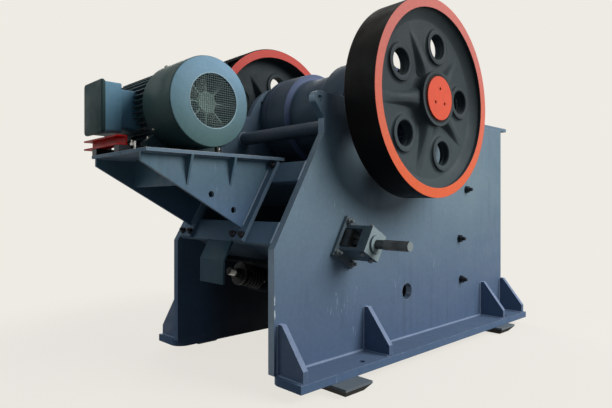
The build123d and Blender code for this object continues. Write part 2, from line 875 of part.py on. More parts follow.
def toggle_plate():
    """Toggle between the beam and the jaw: a flat plate with round ends."""
    half = toggle_thickness / 2
    outline = block((0, -half), (toggle_length, half))
    outline += Circle(toggle_end_radius)
    outline += Pos(toggle_length, 0) * Circle(toggle_end_radius)
    return prism(outline, -toggle_half_width, toggle_half_width, toggle_seat_x, toggle_seat_z, toggle_lean)


def near_wedge_bracket():
    """Bracket on the side plate: base plate, two arms and the thick block that the screw runs in."""
    base_end = plate_outer_y + bracket_base_thickness
    arm_end = base_end + bracket_arm_length
    block_end = arm_end + bracket_block_thickness
    bore = wedge_screw_radius + running_fit
    slot = Rectangle(slot_width, wedge_height + 2 * wedge_fit)
    base = thrust_prism(Rectangle(bracket_base_width, bracket_base_height) - slot, -base_end, -plate_outer_y)
    arm_middle = (bracket_block_height - bracket_arm_thickness) / 2
    arm = Rectangle(bracket_arm_width, bracket_arm_thickness)
    bracket = base
    for side in (-1, 1):
        bracket += thrust_prism(Pos(0, side * arm_middle) * arm, -arm_end, -base_end)
    end = Rectangle(bracket_arm_width, bracket_block_height) - Circle(bore)
    bracket += thrust_prism(end, -block_end, -arm_end)
    ring = Circle(collar_ring_radius) - Circle(bore)
    return bracket + thrust_prism(ring, -block_end - collar_ring_length, -block_end)


def cross_tube():
    """Round tube that ties the two side plates together behind the jaw head."""
    outline = Pos(tube_x, tube_z) * (Circle(tube_radius) - Circle(tube_radius - tube_wall))
    return prism(outline, -plate_inner_y, plate_inner_y)


def strip_x(z):
    """Where the outer face of the bracket's feet lies at a height."""
    return rear_x + rear_slope * (z - bend_z) - foot_thickness / cos(radians(rear_lean))


def motor_bracket_plates():
    """Two upright plates that carry the motor plate, a cross plate between them and ribs on the near one."""
    near_inner_y = bracket_near_y + bracket_plate_thickness
    outline = face(
        (bracket_rear_x, motor_plate_z),
        (bracket_rear_x, motor_plate_z - bracket_lip),
        (strip_x(bracket_tip_z), bracket_tip_z),
        (strip_x(motor_plate_z), motor_plate_z),
    )
    far_plate = prism(outline, bracket_far_y, bracket_far_y + bracket_plate_thickness)
    for reach, z in bracket_holes:
        outline -= Pos(strip_x(z) - reach, z) * Circle(bracket_hole_radius)
    near_plate = prism(outline, bracket_near_y, near_inner_y)
    cross_rear_x = cross_plate_x - bracket_plate_thickness
    cross = block((cross_rear_x, cross_plate_low_z), (cross_plate_x, motor_plate_z))
    rib = face(
        (bracket_near_y, motor_plate_z),
        (bracket_near_y - motor_plate_near_margin, motor_plate_z),
        (bracket_near_y, cross_plate_low_z),
    )
    pieces = [near_plate, far_plate, prism(cross, near_inner_y, bracket_far_y)]
    for x in bracket_rib_x:
        plane = Plane(origin=(x, 0, 0), x_dir=(0, 1, 0), z_dir=(1, 0, 0))
        pieces.append(extrude(plane * rib, amount=bracket_rib_thickness))
    return group(pieces)


def bracket_feet():
    """Flat strips that join the bracket plates to the rear beams."""
    low = lower_band_v - band_width / 2
    high = upper_band_v + band_width / 2
    outline = block((rear_face_u - foot_thickness, low), (rear_face_u, high))
    feet = []
    for y in (bracket_near_y, bracket_far_y):
        middle = y + bracket_plate_thickness / 2
        feet.append(thrust_prism(outline, middle - foot_half_width, middle + foot_half_width))
    return group(feet)


def motor_plate():
    """Flat plate under the motor, reaching over the upper beam between the side plates."""
    near_y = bracket_near_y - motor_plate_near_margin
    far_y = bracket_far_y + bracket_plate_thickness + motor_plate_far_margin
    outline = block((bracket_rear_x, near_y), (motor_plate_front_x, far_y))
    return extrude(Plane.XY.offset(motor_plate_z) * outline, amount=motor_plate_thickness)


def motor_rails():
    """Two slide rails between the motor plate and the motor's feet."""
    outline = block((rail_rear_x, motor_plate_top_z), (rail_front_x, rail_top_z))
    return group([prism(outline, y - rail_width / 2, y + rail_width / 2) for y in rail_y])


def motor_adjuster():
    """Channel bar across the rear ends of the rails, open to the rear."""
    top_z = rail_top_z + adjuster_height
    web_x = adjuster_rear_x + adjuster_width - adjuster_wall
    start_y = motor_body_start_y + adjuster_reach
    outline = block((adjuster_rear_x, rail_top_z), (adjuster_rear_x + adjuster_width, top_z))
    outline -= block((adjuster_rear_x, rail_top_z + adjuster_wall), (web_x, top_z - adjuster_wall))
    return prism(outline, start_y, start_y + adjuster_length)


def motor_body():
    """Finned stator with two feet, a bearing shield at the drive end and a rim for the fan cowl."""
    fin_reach = motor_body_radius + motor_fin_height
    section = Circle(motor_body_radius)
    section += PolarLocations(fin_reach / 2, motor_fin_count) * Rectangle(fin_reach, motor_fin_thickness)
    body = prism(Pos(motor_x, motor_z) * section, motor_body_start_y, motor_body_end_y)
    rim_y = motor_body_start_y - cowl_lap
    shield_y = motor_body_end_y + motor_shield_length
    body += round_bar(motor_x, motor_z, cowl_radius - cowl_wall, rim_y, motor_body_start_y)
    body += round_bar(motor_x, motor_z, motor_shield_radius, motor_body_end_y, shield_y)
    foot = face(
        (motor_x - motor_foot_span, rail_top_z),
        (motor_x + motor_foot_span, rail_top_z),
        (motor_x + motor_foot_span, rail_top_z + motor_foot_thickness),
        (motor_x + motor_body_radius / 2, motor_z - motor_body_radius / 2),
        (motor_x - motor_body_radius / 2, motor_z - motor_body_radius / 2),
        (motor_x - motor_foot_span, rail_top_z + motor_foot_thickness),
    )
    for y in rail_y:
        body += prism(foot, y - motor_foot_length / 2, y + motor_foot_length / 2)
    return body - round_bar(motor_x, motor_z, motor_shaft_radius + running_fit, rim_y, shield_y)


def fan_cowl():
    """Round sheet cowl over the motor's fan, with a shallow cone and a spoked grille in front."""
    inner = cowl_radius - cowl_wall
    cone_y = cowl_front_y + cowl_cone
    sheet = face(
        (inner, motor_body_start_y),
        (cowl_radius, motor_body_start_y),
        (cowl_radius, cone_y),
        (grille_radius, cowl_front_y),
        (grille_radius, cowl_front_y + cowl_wall),
        (inner, cone_y + cowl_wall),
    )
    cowl = turned(sheet, motor_x, motor_z)
    grille = Circle(grille_rings[0])
    for radius in (*grille_rings[1:], grille_radius + grille_bar / 2):
        grille += Circle(radius + grille_bar / 2) - Circle(radius - grille_bar / 2)
    grille += PolarLocations(grille_radius / 2, grille_spokes) * Rectangle(grille_radius, grille_bar)
    return cowl + prism(Pos(motor_x, motor_z) * grille, cowl_front_y, cowl_front_y + cowl_wall)


def terminal_box():
    """Terminal box on the rear of the motor: a neck, a deep box and a lid."""
    low_y = box_y - box_width / 2
    high_y = box_y + box_width / 2
    low_z = box_z - box_height / 2
    high_z = box_z + box_height / 2
    lid_x = box_outer_x + box_lid
    back_x = lid_x + box_depth
    lid = prism(block((box_outer_x, low_z), (lid_x, high_z)), low_y, high_y)
    shell = block((lid_x, low_z + box_lid_margin), (back_x, high_z - box_lid_margin))
    body = prism(shell, low_y + box_lid_margin, high_y - box_lid_margin)
    neck = block((back_x, box_z - box_neck_height / 2), (motor_x, box_z + box_neck_height / 2))
    neck -= Pos(motor_x, motor_z) * Circle(motor_body_radius + motor_fin_height + seat_fit)
    return lid + body + prism(neck, box_y - box_neck_width / 2, box_y + box_neck_width / 2)


def motor_shaft():
    """Motor shaft from the fan to the pulley."""
    return round_bar(motor_x, motor_z, motor_shaft_radius, fan_start_y, belt_middle_y)


def motor_fan():
    """Radial fan on the motor shaft."""
    blades = PolarLocations(fan_radius / 2, fan_blades) * Rectangle(fan_radius, fan_blade_thickness)
    section = Circle(fan_hub_radius) + blades - Circle(motor_shaft_radius)
    return prism(Pos(motor_x, motor_z) * section, fan_start_y, fan_end_y)


def motor_pulley():
    """Grooved pulley on the motor shaft, in line with the far flywheel."""
    hub_start = motor_body_end_y + motor_shield_length + pulley_hub_gap
    rim_inner = pulley_radius - pulley_rim
    profile = block((rim_inner, wheel_inner_y), (pulley_radius, wheel_outer_y))
    profile += block((motor_shaft_radius, hub_start), (pulley_hub_radius, belt_middle_y))
    profile += block((motor_shaft_radius, belt_middle_y - pulley_web), (rim_inner, belt_middle_y))
    for y in belt_lines():
        profile -= groove(pulley_radius, y)
    return turned(profile, motor_x, motor_z)


def belt_path(offset, y):
    """Closed line round both pulleys, offset outwards from their rims."""
    reach = hypot(motor_x, motor_z - shaft_z)
    heading = atan2(motor_z - shaft_z, motor_x)
    spread = acos((wheel_radius - pulley_radius) / reach)
    large = wheel_radius + offset
    small = pulley_radius + offset

    def spot(x, z, radius, angle):
        return x + radius * cos(angle), y, z + radius * sin(angle)

    upper = heading - spread
    lower = heading + spread
    wheel_high = spot(0, shaft_z, large, upper)
    wheel_low = spot(0, shaft_z, large, lower)
    wheel_far = spot(0, shaft_z, large, heading + radians(180))
    motor_high = spot(motor_x, motor_z, small, upper)
    motor_low = spot(motor_x, motor_z, small, lower)
    motor_far = spot(motor_x, motor_z, small, heading)
    return Wire([
        Line(wheel_high, motor_high),
        ThreePointArc(motor_high, motor_far, motor_low),
        Line(motor_low, wheel_low),
        ThreePointArc(wheel_low, wheel_far, wheel_high),
    ])


def drive_belts():
    """Banded V-belt round the far flywheel and the motor pulley, with one rib for each groove."""
    path = belt_path(belt_stand + belt_band, belt_middle_y)
    start = path @ 0
    outward = (start - Vector(0, belt_middle_y, shaft_z)).normalized()
    plane = Plane(origin=start, x_dir=(0, 1, 0), z_dir=path % 0)
    sense = 1 if plane.y_dir.dot(outward) > 0 else -1
    half_band = (belt_count - 1) / 2 * belt_pitch + belt_top / 2
    points = [(-half_band, 0), (half_band, 0)]
    for y in reversed(belt_lines()):
        middle = y - belt_middle_y
        points.append((middle + belt_top / 2, -sense * belt_band))
        points.append((middle + belt_bottom / 2, -sense * (belt_band + belt_rib_depth)))
        points.append((middle - belt_bottom / 2, -sense * (belt_band + belt_rib_depth)))
        points.append((middle - belt_top / 2, -sense * belt_band))
    return sweep(plane * face(*points), path=path)


parts = {
    "near_side_plate": near_side_plate(),
    "far_side_plate": far(near_side_plate()),
    "near_base_flange": near_base_flange(),
    "far_base_flange": far(near_base_flange()),
    "near_gussets": near_gussets(),
    "far_gussets": far(near_gussets()),
    "machine_pads": machine_pads(),
    "front_wall": front_wall(),
    "front_wall_ribs": front_wall_ribs(),
    "front_cap_flange": front_cap_flange(),
    "fixed_jaw_plate": fixed_jaw_plate(),
    "near_cheek_plate": near_cheek_plate(),
    "far_cheek_plate": far(near_cheek_plate()),
    "near_bearing_housing": far(far_bearing_housing()),
    "far_bearing_housing": far_bearing_housing(),
    "upper_rear_beam": rear_beam(upper_band_v),
    "lower_rear_beam": rear_beam(lower_band_v),
    "thrust_wall": thrust_wall(),
    "beam_guides": beam_guides(),
    "cross_tube": cross_tube(),
    "pull_rod_guard": pull_rod_guard(),
    "pull_rod_bracket": pull_rod_bracket(),
    "pull_rod_spring": pull_rod_spring(),
    "near_wedge_bracket": near_wedge_bracket(),
    "far_wedge_bracket": far(near_wedge_bracket()),
    "motor_bracket_plates": motor_bracket_plates(),
    "bracket_feet": bracket_feet(),
    "motor_plate": motor_plate(),
    "motor_rails": motor_rails(),
    "motor_adjuster": motor_adjuster(),
    "motor_body": motor_body(),
    "fan_cowl": fan_cowl(),
    "terminal_box": terminal_box(),
    "drive_belts": drive_belts(),
    "eccentric_shaft": eccentric_shaft(),
    "near_flywheel": far(far_wheel(False)),
    "far_flywheel": far_wheel(True),
    "near_hub_cap": far(far_hub_cap()),
    "far_hub_cap": far_hub_cap(),
    "moving_jaw": moving_jaw(),
    "moving_jaw_plate": moving_jaw_plate(),
    "pull_rod": pull_rod(),
    "near_wedge": near_wedge(),
    "far_wedge": far(near_wedge()),
    "toggle_beam": toggle_beam(),
    "toggle_plate": toggle_plate(),
    "motor_shaft": motor_shaft(),
    "motor_fan": motor_fan(),
    "motor_pulley": motor_pulley(),
}

os.makedirs("parts", exist_ok=True)
for name, shape in parts.items():
    export_step(shape, f"parts/{name}.step")
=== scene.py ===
import bmesh
import bpy
import numpy as np
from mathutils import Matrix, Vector


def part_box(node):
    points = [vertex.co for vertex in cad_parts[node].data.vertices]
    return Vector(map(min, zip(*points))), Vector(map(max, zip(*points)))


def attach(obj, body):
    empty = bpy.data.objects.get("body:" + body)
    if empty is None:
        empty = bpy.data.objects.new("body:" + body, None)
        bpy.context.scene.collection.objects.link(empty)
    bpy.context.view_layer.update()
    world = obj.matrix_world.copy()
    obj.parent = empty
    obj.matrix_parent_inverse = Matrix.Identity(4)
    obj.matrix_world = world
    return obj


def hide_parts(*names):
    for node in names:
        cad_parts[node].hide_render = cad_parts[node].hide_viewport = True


# Looks for the jaw crusher: paint, castings, welds, bolts, the motor's cowl and grille, camera and light.
# Metres, in the frame of the CAD part: Z up, feed end at +X, near side at -Y, origin under the shaft.

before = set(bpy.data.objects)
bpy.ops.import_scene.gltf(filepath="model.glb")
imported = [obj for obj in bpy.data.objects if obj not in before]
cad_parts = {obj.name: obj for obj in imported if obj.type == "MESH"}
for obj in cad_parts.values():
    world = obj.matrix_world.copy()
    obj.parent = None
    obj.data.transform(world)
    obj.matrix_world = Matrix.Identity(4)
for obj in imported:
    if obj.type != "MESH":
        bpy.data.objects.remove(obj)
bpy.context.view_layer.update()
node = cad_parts
scene = bpy.context.scene

# Sizes shared with the solids
SHAFT_Z = 2.220
PLATE_INNER = 0.630
PLATE_OUTER = 0.695
FLANGE_TOP = 0.130
FLANGE_REACH = 0.278
LEAN = np.radians(30)
SLOT = np.array((-0.605, 0.0, 1.040))
ALONG_THRUST = np.array((np.cos(LEAN), 0.0, -np.sin(LEAN)))
UP_REAR = np.array((np.sin(LEAN), 0.0, np.cos(LEAN)))
ACROSS = np.array((0.0, 1.0, 0.0))
REAR_X = -1.380
REAR_FACE_U = -0.6647
FOOT_U = -0.6947
BAND_ROWS = (0.267, -0.270)
BRACKET_FACES = (-0.256, -0.231, 0.485, 0.510)
MOTOR = np.array((-1.656, 0.0, 2.090))
COWL_RADIUS = 0.330
RIM_INNER = 0.738
RIM_MIDDLE = 1.0025
RIM_HALF = 0.147
RUBBER_TOP = 0.052
BLACK_START = 0.775
CAP_SHADOW_END = 0.206
FULL_TURN = 2 * np.pi
SIDES = (-1, 1)
ROUND_Y = (1, 0, 1)


# Shapes: each is an array of points and an array of four-cornered faces

def grid_faces(rows, columns, loop_rows=False, loop_columns=False):
    """Faces between neighbouring points of a grid; a looped direction joins its last line to its first."""
    row = np.arange(rows if loop_rows else rows - 1)[:, None]
    column = np.arange(columns if loop_columns else columns - 1)[None, :]
    below = row * columns
    above = (row + 1) % rows * columns
    after = (column + 1) % columns
    corners = np.broadcast_arrays(below + column, below + after, above + after, above + column)
    return np.stack(corners, -1).reshape(-1, 4)


def lofted(rows, ring=False):
    """Surface through rows of points, each row a closed loop. A ring joins its last row to its first, and any
    other surface closes at each end on the middle of its end row."""
    if not ring:
        middles = np.broadcast_to(rows[[0, -1]].mean(1, keepdims=True), (2, *rows.shape[1:]))
        rows = np.concatenate((middles[:1], rows, middles[1:]))
    return rows.reshape(-1, 3), grid_faces(len(rows), rows.shape[1], ring, True)


def stacked(x, y, z):
    """Points from three arrays, which are first spread to one size."""
    return np.stack(np.broadcast_arrays(x, y, z), -1)


def polar(radius, angle, height):
    """Points round local Z: (radius cos angle, radius sin angle, height)."""
    return stacked(radius * np.cos(angle), radius * np.sin(angle), height)


def rounds(steps):
    """Even angles round a full turn."""
    return np.linspace(0, FULL_TURN, steps, endpoint=False)


def circle(radius, steps):
    """Points of a circle: radius times the cosine and the sine of every angle."""
    angle = rounds(steps)
    return radius * np.stack((np.cos(angle), np.sin(angle)), 1)


def turned(profile, steps, ring=False):
    """Surface of revolution: (radius, height) goes to (radius cos a, radius sin a, height) for every angle a.
    The profile of a ring is a closed loop."""
    profile = np.asarray(profile, float)
    return lofted(polar(profile[:, :1], rounds(steps), profile[:, 1:]), ring)


def rounded_block(half_width, half_height, length, corner, edge):
    """Box with round corners and edges along local Z: every level is the rounded rectangle moved inwards by
    an inset, and the inset follows a quarter circle at both ends."""
    arc = 5
    bend = np.linspace(0, np.pi / 2, arc)
    turn = (np.arange(4)[:, None] * np.pi / 2 + bend[None]).ravel()
    corner_x = np.repeat((1, -1, -1, 1), arc) * (half_width - corner)
    corner_y = np.repeat((1, 1, -1, -1), arc) * (half_height - corner)
    inset = edge * (1 - np.sin(bend))
    level = edge * (1 - np.cos(bend))
    insets = np.concatenate((inset, inset[::-1]))[:, None]
    levels = np.concatenate((level, length - level[::-1]))[:, None]
    reach = corner - insets
    return lofted(stacked(corner_x + reach * np.cos(turn), corner_y + reach * np.sin(turn), levels))


def hexagon(angle, across):
    """Radius of a hexagon: half its width over the cosine of the angle from the nearest flat's middle."""
    return across / 2 / np.cos(np.mod(angle + np.pi / 6, np.pi / 3) - np.pi / 6)


def bolt(across, head, stud=0.0):
    """Washer, chamfered hexagon and, where there is one, the stud's end, as one surface round local Z."""
    angle = rounds(12)
    washer = 0.14 * head
    top = washer + head
    rod = 0.31 * across
    even = np.ones_like(angle)
    six = hexagon(angle, across)
    crown = np.minimum(six, 0.53 * across)
    rows = [(0.66 * across * even, 0), (0.66 * across * even, washer), (six, washer)]
    rows += [(six, washer + 0.84 * head), (crown, top)]
    if stud:
        rows += [(rod * even, top), (rod * even, top + 0.85 * stud), (0.8 * rod * even, top + stud)]
    return lofted(np.stack([polar(radius, angle, height) for radius, height in rows]))


def facing(direction, up=(0, 0, 1)):
    """Axes whose third one points along a direction and whose second lies as near as it can to up."""
    third = np.asarray(direction, float) / np.linalg.norm(direction)
    first = np.cross(up, third)
    first = first / np.linalg.norm(first)
    return np.stack((first, np.cross(third, first), third), 1)


def spread(shape, places, axes):
    """Copies of a shape, all at once: every point goes to its place plus the axes times the point."""
    points, faces = shape
    places = np.asarray(places, float).reshape(-1, 3)
    axes = np.broadcast_to(axes, (len(places), 3, 3))
    moved = np.einsum("mij,nj->mni", axes, points) + places[:, None]
    shift = np.arange(len(places))[:, None, None] * len(points)
    return moved.reshape(-1, 3), (faces[None] + shift).reshape(-1, 4)


def joined(*shapes):
    """Several shapes as one."""
    starts = np.cumsum([0] + [len(points) for points, faces in shapes[:-1]])
    points = np.concatenate([shape[0] for shape in shapes])
    faces = np.concatenate([shape[1] + start for shape, start in zip(shapes, starts)])
    return points, faces


def far_copy(shape):
    """A shape on the other side of the middle plane."""
    points, faces = shape
    return points * (1, -1, 1), faces[:, ::-1]


def mirrored(shape):
    """A shape together with its copy on the other side of the middle plane."""
    return joined(shape, far_copy(shape))


def weld_bead(start, end, leg):
    """Ripple bead between two points: a tube whose radius swells by a sine along its length, with a slow
    second one."""
    start = np.asarray(start, float)
    end = np.asarray(end, float)
    length = np.linalg.norm(end - start)
    rows = max(6, int(length / (0.42 * leg)))
    share = np.linspace(0, 1, rows)[:, None]
    axes = facing(end - start, (0.31, 0.52, 0.79))
    run = share * length
    swell = 1 + 0.10 * np.sin(FULL_TURN * run / (1.25 * leg)) + 0.07 * np.sin(17 * run + 3 * start.sum())
    ends = np.clip(np.minimum(share, 1 - share) * length / leg, 0.05, 1) ** 0.5
    return lofted(start + polar(leg * swell * ends, rounds(8), run) @ axes.T)


def new_mesh(name, shape):
    """A mesh made from a shape."""
    points, faces = shape
    mesh = bpy.data.meshes.new(name)
    mesh.from_pydata(points.tolist(), [], faces.tolist())
    return mesh


def new_object(name, data):
    """An object at the origin, in the scene."""
    made = bpy.data.objects.new(name, data)
    scene.collection.objects.link(made)
    return made


def add_piece(name, shape, material, sharp=38, body="frame"):
    """One mesh object at the origin from a shape; it rides on a body and takes its finish from a slot."""
    mesh = new_mesh(name, shape)
    work = bmesh.new()
    work.from_mesh(mesh)
    bmesh.ops.remove_doubles(work, verts=work.verts, dist=1e-6)
    bmesh.ops.dissolve_degenerate(work, edges=work.edges, dist=1e-7)
    bmesh.ops.recalc_face_normals(work, faces=work.faces)
    work.to_mesh(mesh)
    work.free()
    mesh.shade_smooth()
    mesh.set_sharp_from_angle(angle=np.radians(sharp))
    mesh.materials.append(material)
    piece = new_object(name, mesh)
    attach(piece, body)
    return piece


# Materials: shared effects are node groups, and each paint or metal places them with its own values

EDGE_WIDTH = 0.006
DUST_GREY = (128, 132, 134)
OIL = (48, 50, 50)
# Near-black painted shade between the plates
INNER_SHADE = (14, 14, 15)
CHIP = (186, 198, 204)
RUST = (104, 66, 42)
RUBBED_AND_LIT_END = (134, 149, 152)
STEEL_END = (122, 132, 135)


def put(tree, kind, inputs=None, **settings):
    """Add a shader node, set its own settings, then set or link its inputs."""
    made = tree.nodes.new("ShaderNode" + kind)
    for key, value in settings.items():
        setattr(made, key, value)
    for key, value in (inputs or {}).items():
        if isinstance(value, bpy.types.NodeSocket):
            tree.links.new(value, made.inputs[key])
        else:
            made.inputs[key].default_value = value
    return made


def srgb(red, green, blue):
    """A screen colour, 0 to 255, as the linear colour that Blender works with."""
    screen = np.array((red, green, blue)) / 255
    linear = np.where(screen <= 0.04045, screen / 12.92, ((screen + 0.055) / 1.055) ** 2.4)
    return (*linear.tolist(), 1.0)


def colour_of(value):
    """A socket as it is, or a screen colour as a linear one."""
    return value if isinstance(value, bpy.types.NodeSocket) else srgb(*value)


def mixed(tree, factor, first, second, way="MIX"):
    """Mix of two colours by a factor."""
    inputs = {0: factor, 6: colour_of(first), 7: colour_of(second)}
    return put(tree, "Mix", inputs, data_type="RGBA", blend_type=way).outputs[2]


def ramp(tree, value, low, high, to_low=0.0, to_high=1.0):
    """Smooth step of a value from low to high."""
    made = put(tree, "MapRange", {"Value": value, "From Min": low, "From Max": high,
                                  "To Min": to_low, "To Max": to_high}, interpolation_type="SMOOTHSTEP")
    return made.outputs["Result"]


def maths(tree, operation, first, second=0.0):
    """One arithmetic step."""
    return put(tree, "Math", {0: first, 1: second}, operation=operation).outputs[0]


def times(tree, first, *others):
    """Product of several values."""
    for value in others:
        first = maths(tree, "MULTIPLY", first, value)
    return first


def noise(tree, place, scale, detail=3.0, roughness=0.55):
    """Noise value at a place."""
    return put(tree, "TexNoise", {"Vector": place, "Scale": scale, "Detail": detail,
                                  "Roughness": roughness}).outputs["Fac"]


def stretched(tree, place, scale):
    """The place with its three axes scaled, so that a pattern runs long one way."""
    return put(tree, "Mapping", {"Vector": place, "Scale": scale}).outputs[0]


def object_place(tree):
    """The shaded point in the object's own coordinates."""
    return put(tree, "TexCoord").outputs["Object"]


def axis_part(tree, vector, axis):
    """One part of a vector: X, Y or Z."""
    return put(tree, "SeparateXYZ", {0: vector}).outputs[axis]


def face_part(tree, axis):
    """One part of the surface's normal: X, Y or Z."""
    return axis_part(tree, put(tree, "NewGeometry").outputs["Normal"], axis)


def vector_maths(tree, operation, *vectors):
    """Outputs of one step of arithmetic with vectors."""
    return put(tree, "VectorMath", dict(enumerate(vectors)), operation=operation).outputs


def line_distance(tree, place, point, counted):
    """Distance of a place from a line through a point, over the two axes that are counted with one."""
    flat = vector_maths(tree, "MULTIPLY", vector_maths(tree, "SUBTRACT", place, point)[0], counted)[0]
    return vector_maths(tree, "LENGTH", flat)["Value"]


def new_group(name, inputs, outputs):
    """A shader node group with named sockets; gives back the tree and the sockets of its input and output."""
    tree = bpy.data.node_groups.new(name, "ShaderNodeTree")
    kinds = {"colour": "NodeSocketColor", "value": "NodeSocketFloat", "normal": "NodeSocketVector"}
    for way, sockets in (("INPUT", inputs), ("OUTPUT", outputs)):
        for label, kind in sockets.items():
            tree.interface.new_socket(name=label, in_out=way, socket_type=kinds[kind])
    return tree, tree.nodes.new("NodeGroupInput").outputs, tree.nodes.new("NodeGroupOutput").inputs


def sprayed_paint():
    """Sprayed paint: slow drift between two shades, mottling, orange peel, uneven gloss, and a third colour
    that takes over from a top height down to a foot height, which is partly painted light and shade set by
    height.
    """
    inputs = dict(Paint="colour", Shade="colour", Low="colour", Top="value", Foot="value", Gloss="value")
    outputs = dict(Colour="colour", Roughness="value", Height="value")
    tree, given, out = new_group("sprayed_paint", inputs, outputs)
    place = object_place(tree)
    drift = ramp(tree, noise(tree, place, 0.9, 4), 0.36, 0.66)
    colour = mixed(tree, drift, given["Paint"], given["Shade"])
    fall = ramp(tree, axis_part(tree, place, "Z"), given["Top"], given["Foot"])
    colour = mixed(tree, fall, colour, given["Low"])
    mottle = ramp(tree, noise(tree, place, 26, 5, 0.7), 0.25, 0.75, 0.93, 1.05)
    tone = put(tree, "CombineColor", {0: mottle, 1: mottle, 2: mottle}).outputs[0]
    tree.links.new(mixed(tree, 1.0, colour, tone, "MULTIPLY"), out["Colour"])
    patch = ramp(tree, noise(tree, place, 6, 4), 0.3, 0.7, -0.08, 0.12)
    tree.links.new(maths(tree, "ADD", given["Gloss"], patch), out["Roughness"])
    peel = noise(tree, place, 240, 2)
    runs = noise(tree, stretched(tree, place, (9, 9, 1.1)), 1.0, 2)
    tree.links.new(maths(tree, "ADD", peel, times(tree, runs, 1.5)), out["Height"])
    return tree


def worn_edges():
    """Edges rubbed through: where a rounded normal leaves the face's own normal, broken up by noise."""
    inputs = dict(Width="value", Amount="value")
    tree, given, out = new_group("worn_edges", inputs, dict(Mask="value", Normal="normal"))
    bevel = put(tree, "Bevel", {"Radius": given["Width"]}, samples=4)
    flat = put(tree, "NewGeometry").outputs["Normal"]
    turn = vector_maths(tree, "DOT_PRODUCT", bevel.outputs[0], flat)["Value"]
    edge = ramp(tree, maths(tree, "SUBTRACT", 1.0, turn), 0.01, 0.12)
    broken = ramp(tree, noise(tree, object_place(tree), 11, 6, 0.65), 0.34, 0.62)
    tree.links.new(times(tree, edge, broken, given["Amount"]), out["Mask"])
    tree.links.new(bevel.outputs[0], out["Normal"])
    return tree


def streaks(tree, place):
    """Rain and oil streaks: noise drawn out along Z, gathered into patches."""
    lines = ramp(tree, noise(tree, stretched(tree, place, (15, 15, 0.5)), 1.0, 5, 0.6), 0.50, 0.72)
    return lines, ramp(tree, noise(tree, place, 1.7, 3), 0.42, 0.68)


def settled_dust(tree, place):
    """Dust on faces that look up, thicker in patches."""
    up = ramp(tree, face_part(tree, "Z"), 0.35, 0.95)
    return up, ramp(tree, noise(tree, place, 5, 6, 0.65), 0.25, 0.75, 0.35, 1.0)


def scuffs(tree, place):
    """Short upright rubs and scratches: thin bands of stretched noise where a coarse noise lets them by."""
    fine = noise(tree, stretched(tree, place, (60, 60, 7)), 1.0, 4, 0.7)
    return ramp(tree, fine, 0.60, 0.70), ramp(tree, noise(tree, place, 2.6, 2), 0.56, 0.70)


def painted_rear_light(tree, place):
    """Upright faces that look to the rear, lighter in patches: painted bounce light from the floor."""
    rear = ramp(tree, face_part(tree, "X"), -0.80, -0.97)
    return rear, ramp(tree, noise(tree, place, 3.5, 5, 0.6), 0.25, 0.70, 0.55, 1.0)


def mask_group(name, pattern):
    """A group that puts out one mask: a pattern's two values for the place, times the amount asked for."""
    tree, given, out = new_group(name, dict(Amount="value"), dict(Mask="value"))
    pattern_value, patch = pattern(tree, object_place(tree))
    tree.links.new(times(tree, pattern_value, patch, given["Amount"]), out["Mask"])
    return tree


PAINT = sprayed_paint()
EDGES = worn_edges()
STREAKS = mask_group("streaks", streaks)
DUST = mask_group("settled_dust", settled_dust)
SCUFFS = mask_group("scuffs", scuffs)
REAR_LIGHT = mask_group("painted_rear_light", painted_rear_light)


def new_material(name, shine=0.5):
    """A material with its Principled shader; shine is the shader's plain specular level."""
    material = bpy.data.materials.new(name)
    material.use_nodes = True
    tree = material.node_tree
    shader = tree.nodes["Principled BSDF"]
    shader.inputs["Specular IOR Level"].default_value = shine
    return material, tree, shader


def use_group(tree, group, **inputs):
    """Outputs of a node group that is placed in a material with its values."""
    return put(tree, "Group", inputs, node_tree=group).outputs


def masked(tree, group, amount):
    """The mask of an effect that is placed with an amount."""
    return use_group(tree, group, Amount=amount)["Mask"]


def sprayed(tree, paint, shade, low, top, foot, gloss):
    """Outputs of the sprayed paint, placed with its colours."""
    return use_group(tree, PAINT, Paint=colour_of(paint), Shade=colour_of(shade), Low=colour_of(low), Top=top,
                     Foot=foot, Gloss=gloss)


def bumped(tree, height, strength, distance, normal=None):
    """Bump from a height, on top of a normal where one is given."""
    inputs = {"Height": height, "Strength": strength, "Distance": distance}
    if normal:
        inputs["Normal"] = normal
    return put(tree, "Bump", inputs).outputs[0]


def shaded(tree, shader, colour, roughness, normal):
    """Link a colour, a roughness and a normal to a shader."""
    tree.links.new(colour, shader.inputs["Base Color"])
    tree.links.new(roughness, shader.inputs["Roughness"])
    tree.links.new(normal, shader.inputs["Normal"])


def outer_end(tree, place, level):
    """One on faces that look outwards, away from the middle plane, further out than a level."""
    facing_out = ramp(tree, maths(tree, "ABSOLUTE", face_part(tree, "Y")), 0.85, 0.97)
    out = maths(tree, "ABSOLUTE", axis_part(tree, place, "Y"))
    return times(tree, facing_out, ramp(tree, out, level - 0.004, level))


def corner_chips(tree, place, low, high):
    """Chips on the near plate's rear corner between two heights: places close to the corner's upright line,
    broken up by noise drawn out along it."""
    reach = line_distance(tree, place, (REAR_X, -PLATE_OUTER, 0), (1, 1, 0))
    ragged = noise(tree, stretched(tree, place, (40, 40, 16)), 1.0, 4, 0.6)
    close = ramp(tree, maths(tree, "SUBTRACT", reach, times(tree, ragged, 0.025)), 0.001, -0.002)
    height = axis_part(tree, place, "Z")
    above = ramp(tree, height, low - 0.03, low + 0.01)
    below = ramp(tree, height, high + 0.03, high - 0.01)
    broken = ramp(tree, noise(tree, stretched(tree, place, (1, 1, 14)), 1.0, 2), 0.44, 0.50)
    return times(tree, above, below, broken, close)


